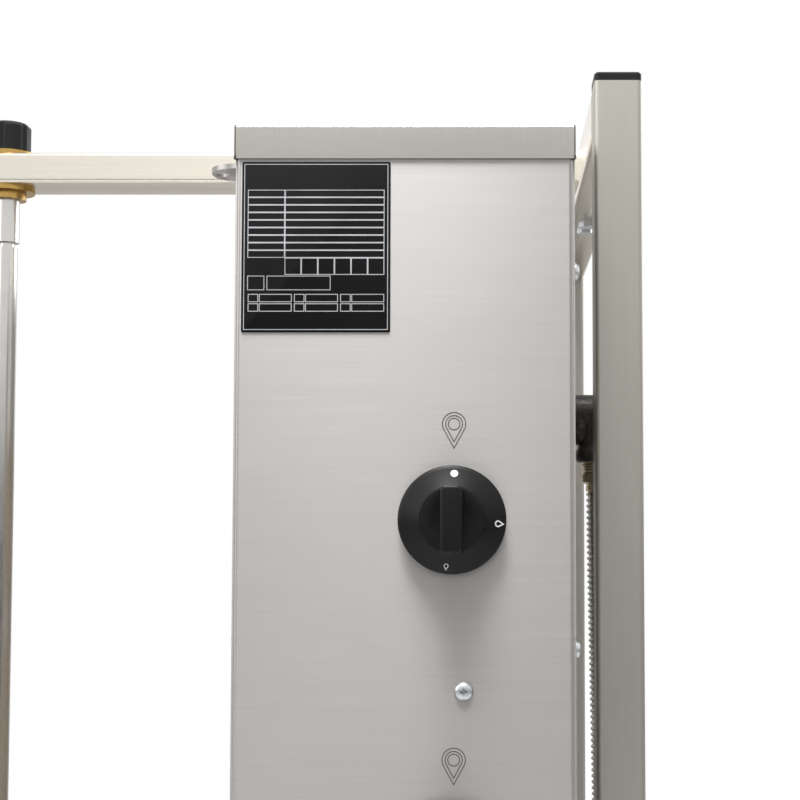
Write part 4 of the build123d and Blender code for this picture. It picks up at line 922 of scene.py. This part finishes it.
class GRILL_OT_gas_fittings(bpy.types.Operator):
    """Models the cast elbow, the threaded nipple and the two union nuts with their sleeves"""
    bl_idname = "grill.gas_fittings"
    bl_label = "Gas fittings"

    def execute(self, context):
        sizes = context.scene.grill_fittings
        dress(self.elbow(), "cast_elbow", FINISHES["iron"], "burner_unit", "black_iron", "elbow", smooth=45)
        nipple = self.nipple(sizes.thread_pitch)
        dress(
            nipple, "threaded_nipple", FINISHES["yellow_zinc"], "burner_unit", "yellow_zinc", "nipple",
            smooth=60)
        nuts = (
            ("upper_union_nut", "hose_nut", "burner_unit", 1),
            ("lower_union_nut", "inlet_nut", "frame", -1))
        for name, node, body, end in nuts:
            low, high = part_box(node)
            seat = middle(node)
            seat.z = high.z if end > 0 else low.z
            nut = self.nut(facing(-end * UP, seat, REARWARD))
            dress(nut, name, FINISHES["yellow_zinc"], body, "yellow_zinc", node)
        return {"FINISHED"}

    def elbow(self):
        low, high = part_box("elbow")
        bead = (high.x - low.x) / 2
        neck = bead - 1.8 * MM
        centre = Vector((middle("elbow").x, high.y - bead, high.z - bead))
        reach = centre.z - low.z
        rings = [
            (0.98 * neck, 0), (neck, reach - 11 * MM), (neck + 0.2 * MM, reach - 9.4 * MM),
            (bead - 0.9 * MM, reach - 8.3 * MM), (bead - 0.25 * MM, reach - 7 * MM),
            (bead, reach - 5.4 * MM), (bead, reach - 3.8 * MM), (bead - 0.35 * MM, reach - 1.9 * MM),
            (bead - 1.2 * MM, reach - 0.6 * MM), (bead - 2.4 * MM, reach), (bead - 3.6 * MM, reach),
        ]
        body = lathe(rings, 56, facing(-UP, centre, REARWARD))
        combine(body, lathe(rings, 56, facing(-REARWARD, centre)), "UNION")
        # A ball rounds the outside of the bend and a smaller one fills its inside.
        inside = centre - 10.5 * MM * (REARWARD + UP)
        for radius, spot, rows in ((1.02 * neck, centre, 28), (10.6 * MM, inside, 20)):
            start()
            bpy.ops.mesh.primitive_uv_sphere_add(
                segments=2 * rows, ring_count=rows, radius=radius, location=spot)
            combine(body, settle(bpy.context.object), "UNION")
        edit(body)
        bpy.ops.mesh.select_all(action="SELECT")
        bpy.ops.mesh.dissolve_degenerate(threshold=0.03 * MM)
        bpy.ops.object.mode_set(mode="OBJECT")
        mend(body)
        return body

    def nipple(self, pitch):
        low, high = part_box("nipple")
        radius = (high.x - low.x) / 2
        seat = middle("nipple")
        seat.z = low.z
        tall = high.z - low.z
        root = radius - 1.1 * MM
        rings = [(radius - 1.3 * MM, 0), (root, 0.3 * MM)]
        turn = 0.6 * MM
        while turn + pitch < tall:
            rings += [(radius, turn + 0.42 * pitch), (radius, turn + 0.55 * pitch), (root, turn + pitch)]
            turn += pitch
        rings.append((root, tall))
        return lathe(rings, 48, facing(UP, seat, REARWARD))

    def nut(self, place):
        """A chamfered hexagon over the nipple, then the sleeve that grips the hose."""
        flats, tall, sleeve, slope = 20 * MM, 7 * MM, 12 * MM, 1.3 * MM
        corner, face = flats / math.sqrt(3), 0.44 * flats
        nut = lathe([(corner, 0), (corner, tall)], 6, Matrix.Rotation(math.pi / 6, 4, "Z"))
        chamfer = [(face, 0), (corner, slope), (corner, tall - slope), (face, tall)]
        combine(nut, lathe(chamfer, 64, Matrix()), "INTERSECT")
        collar = [
            (7.4 * MM, 0.5 * MM), (7.5 * MM, tall + 0.6 * MM), (7.0 * MM, tall + 1.2 * MM),
            (7.6 * MM, tall + 1.9 * MM), (7.6 * MM, sleeve - 0.5 * MM), (7.2 * MM, sleeve),
        ]
        combine(nut, lathe(collar, 40, Matrix()), "UNION")
        nut.matrix_world = place
        return settle(nut)


class GRILL_OT_hose(bpy.types.Operator):
    """Makes the corrugated hose: one rib repeated along a bowed path, bending between base and case"""
    bl_idname = "grill.hose"
    bl_label = "Gas hose"

    def execute(self, context):
        sizes = context.scene.grill_fittings
        low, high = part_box("gas_hose")
        foot = middle("inlet_nut")
        foot.z = low.z
        tall = high.z - low.z
        count = round(tall / sizes.rib_pitch)
        pitch = tall / count
        crest = (high.x - low.x) / 2
        # One rib: shares of the pitch, and of the depth below the crest.
        profile = (
            (0, 1), (0.12, 1), (0.24, 0.66), (0.34, 0.18), (0.45, 0), (0.57, 0), (0.68, 0.18), (0.78, 0.66),
            (0.9, 1), (1, 1))
        rings = [(crest - sizes.rib_depth * deep, along * pitch) for along, deep in profile]
        hose = lathe(rings, 24, Matrix(), capped=False)
        apply(
            hose, "ARRAY", count=count, use_relative_offset=False, use_constant_offset=True,
            constant_offset_displace=(0, 0, pitch), use_merge_vertices=True, merge_threshold=0.01 * MM)
        path = self.path(tall, sizes.hose_bow)
        apply(hose, "CURVE", object=path, deform_axis="POS_Z")
        bpy.data.objects.remove(path, do_unlink=True)
        hose.matrix_world = Matrix.Translation(foot)
        settle(hose)
        hose.name = hose.data.name = "corrugated_hose"
        bpy.ops.object.shade_smooth_by_angle(angle=math.radians(60))
        hose.data.materials.append(FINISHES["hose"])
        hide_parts("gas_hose")
        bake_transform(hose)
        return {"FINISHED"}

    def path(self, tall, bow):
        """A bowed line that leaves both nuts upright."""
        curve = bpy.data.curves.new("hose_path", "CURVE")
        curve.dimensions = "3D"
        curve.twist_mode = "MINIMUM"
        line = curve.splines.new("NURBS")
        stops = (0, 0.06, 0.2, 0.4, 0.6, 0.8, 0.94, 1)
        line.points.add(len(stops) - 1)
        for point, stop in zip(line.points, stops):
            point.co = (0, bow * (1 - math.cos(2 * math.pi * stop)) / 2, tall * stop, 1)
        line.order_u = 4
        line.use_endpoint_u = True
        curve.resolution_u = 24
        path = bpy.data.objects.new("hose_path", curve)
        bpy.context.collection.objects.link(path)
        return path


class GRILL_OT_guard(bpy.types.Operator):
    """Makes the burner guard: a flat border with welded wires, uprights in front of crossbars"""
    bl_idname = "grill.guard"
    bl_label = "Burner guard"

    def execute(self, context):
        sizes = context.scene.grill_fittings
        low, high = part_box("guard_mesh")
        border = 12 * MM
        radius = sizes.wire_radius
        dress(
            self.border(low, high, border), "guard_border", FINISHES["sheet"], "burner_unit",
            "brushed_stainless", "guard_mesh")
        wires = []
        tall, wide = high.z - low.z, high.x - low.x
        step = (wide - 2 * border) / sizes.guard_columns
        rise = (tall - 2 * border) / sizes.guard_rows
        inset = border / 3
        upright = self.wire(radius, tall - 2 * inset, UP)
        for column in range(1, sizes.guard_columns):
            spot = Vector((low.x + border + column * step, low.y + radius, low.z + inset))
            wires.append(copy(upright, spot))
        across = self.wire(radius, wide - 2 * inset, OUT)
        for row in range(1, sizes.guard_rows):
            spot = Vector((low.x + inset, low.y + 2.4 * radius, low.z + border + row * rise))
            wires.append(copy(across, spot))
        for pattern in (upright, across):
            bpy.data.objects.remove(pattern, do_unlink=True)
        dress(join(wires), "guard_wires", FINISHES["bright"], "burner_unit", "stainless_bright")
        return {"FINISHED"}

    def border(self, low, high, width):
        piece = box(low, high)
        edit(piece)
        pick_faces(piece, lambda point, normal: abs(normal.y) > 0.9)
        bpy.ops.mesh.inset(thickness=width, use_boundary=True)
        bpy.ops.mesh.bridge_edge_loops()
        pick_edges(piece, lambda point, along: point.y < low.y + 0.1 * MM)
        bpy.ops.mesh.bevel(offset=0.5 * MM, segments=2, affect="EDGES")
        bpy.ops.object.mode_set(mode="OBJECT")
        mend(piece)
        return piece

    def wire(self, radius, reach, axis):
        round_off, tip = 0.4 * radius, 0.6 * radius
        rings = [(tip, 0), (radius, round_off), (radius, reach - round_off), (tip, reach)]
        return lathe(rings, 10, facing(axis, Vector((0, 0, 0)), REARWARD))


class GRILL_PT_sidebar(bpy.types.Panel):
    """Lists the steps that dress the grill"""
    bl_idname = "GRILL_PT_sidebar"
    bl_label = "Doner kebab grill"
    bl_space_type = "VIEW_3D"
    bl_region_type = "UI"
    bl_category = "Grill"

    def draw(self, context):
        for step in STEPS:
            self.layout.operator(step.bl_idname)


STEPS = (
    GRILL_OT_stage,
    GRILL_OT_finishes,
    GRILL_OT_knobs,
    GRILL_OT_index_marks,
    GRILL_OT_plate,
    GRILL_OT_screws,
    GRILL_OT_lid,
    GRILL_OT_lugs,
    GRILL_OT_gas_fittings,
    GRILL_OT_hose,
    GRILL_OT_guard,
)

GROUPS = {
    "grill_finishes": GrillFinishes,
    "grill_knob": GrillKnob,
    "grill_fittings": GrillFittings,
    "grill_stage": GrillStage,
}


def register():
    for name, group in GROUPS.items():
        bpy.utils.register_class(group)
        setattr(bpy.types.Scene, name, PointerProperty(type=group))
    for step in STEPS:
        bpy.utils.register_class(step)
    bpy.utils.register_class(GRILL_PT_sidebar)


def unregister():
    bpy.utils.unregister_class(GRILL_PT_sidebar)
    for step in reversed(STEPS):
        bpy.utils.unregister_class(step)
    for name, group in GROUPS.items():
        delattr(bpy.types.Scene, name)
        bpy.utils.unregister_class(group)


def main():
    register()
    for step in STEPS:
        family, name = step.bl_idname.split(".")
        getattr(getattr(bpy.ops, family), name)()
    start()


if __name__ == "__main__":
    main()
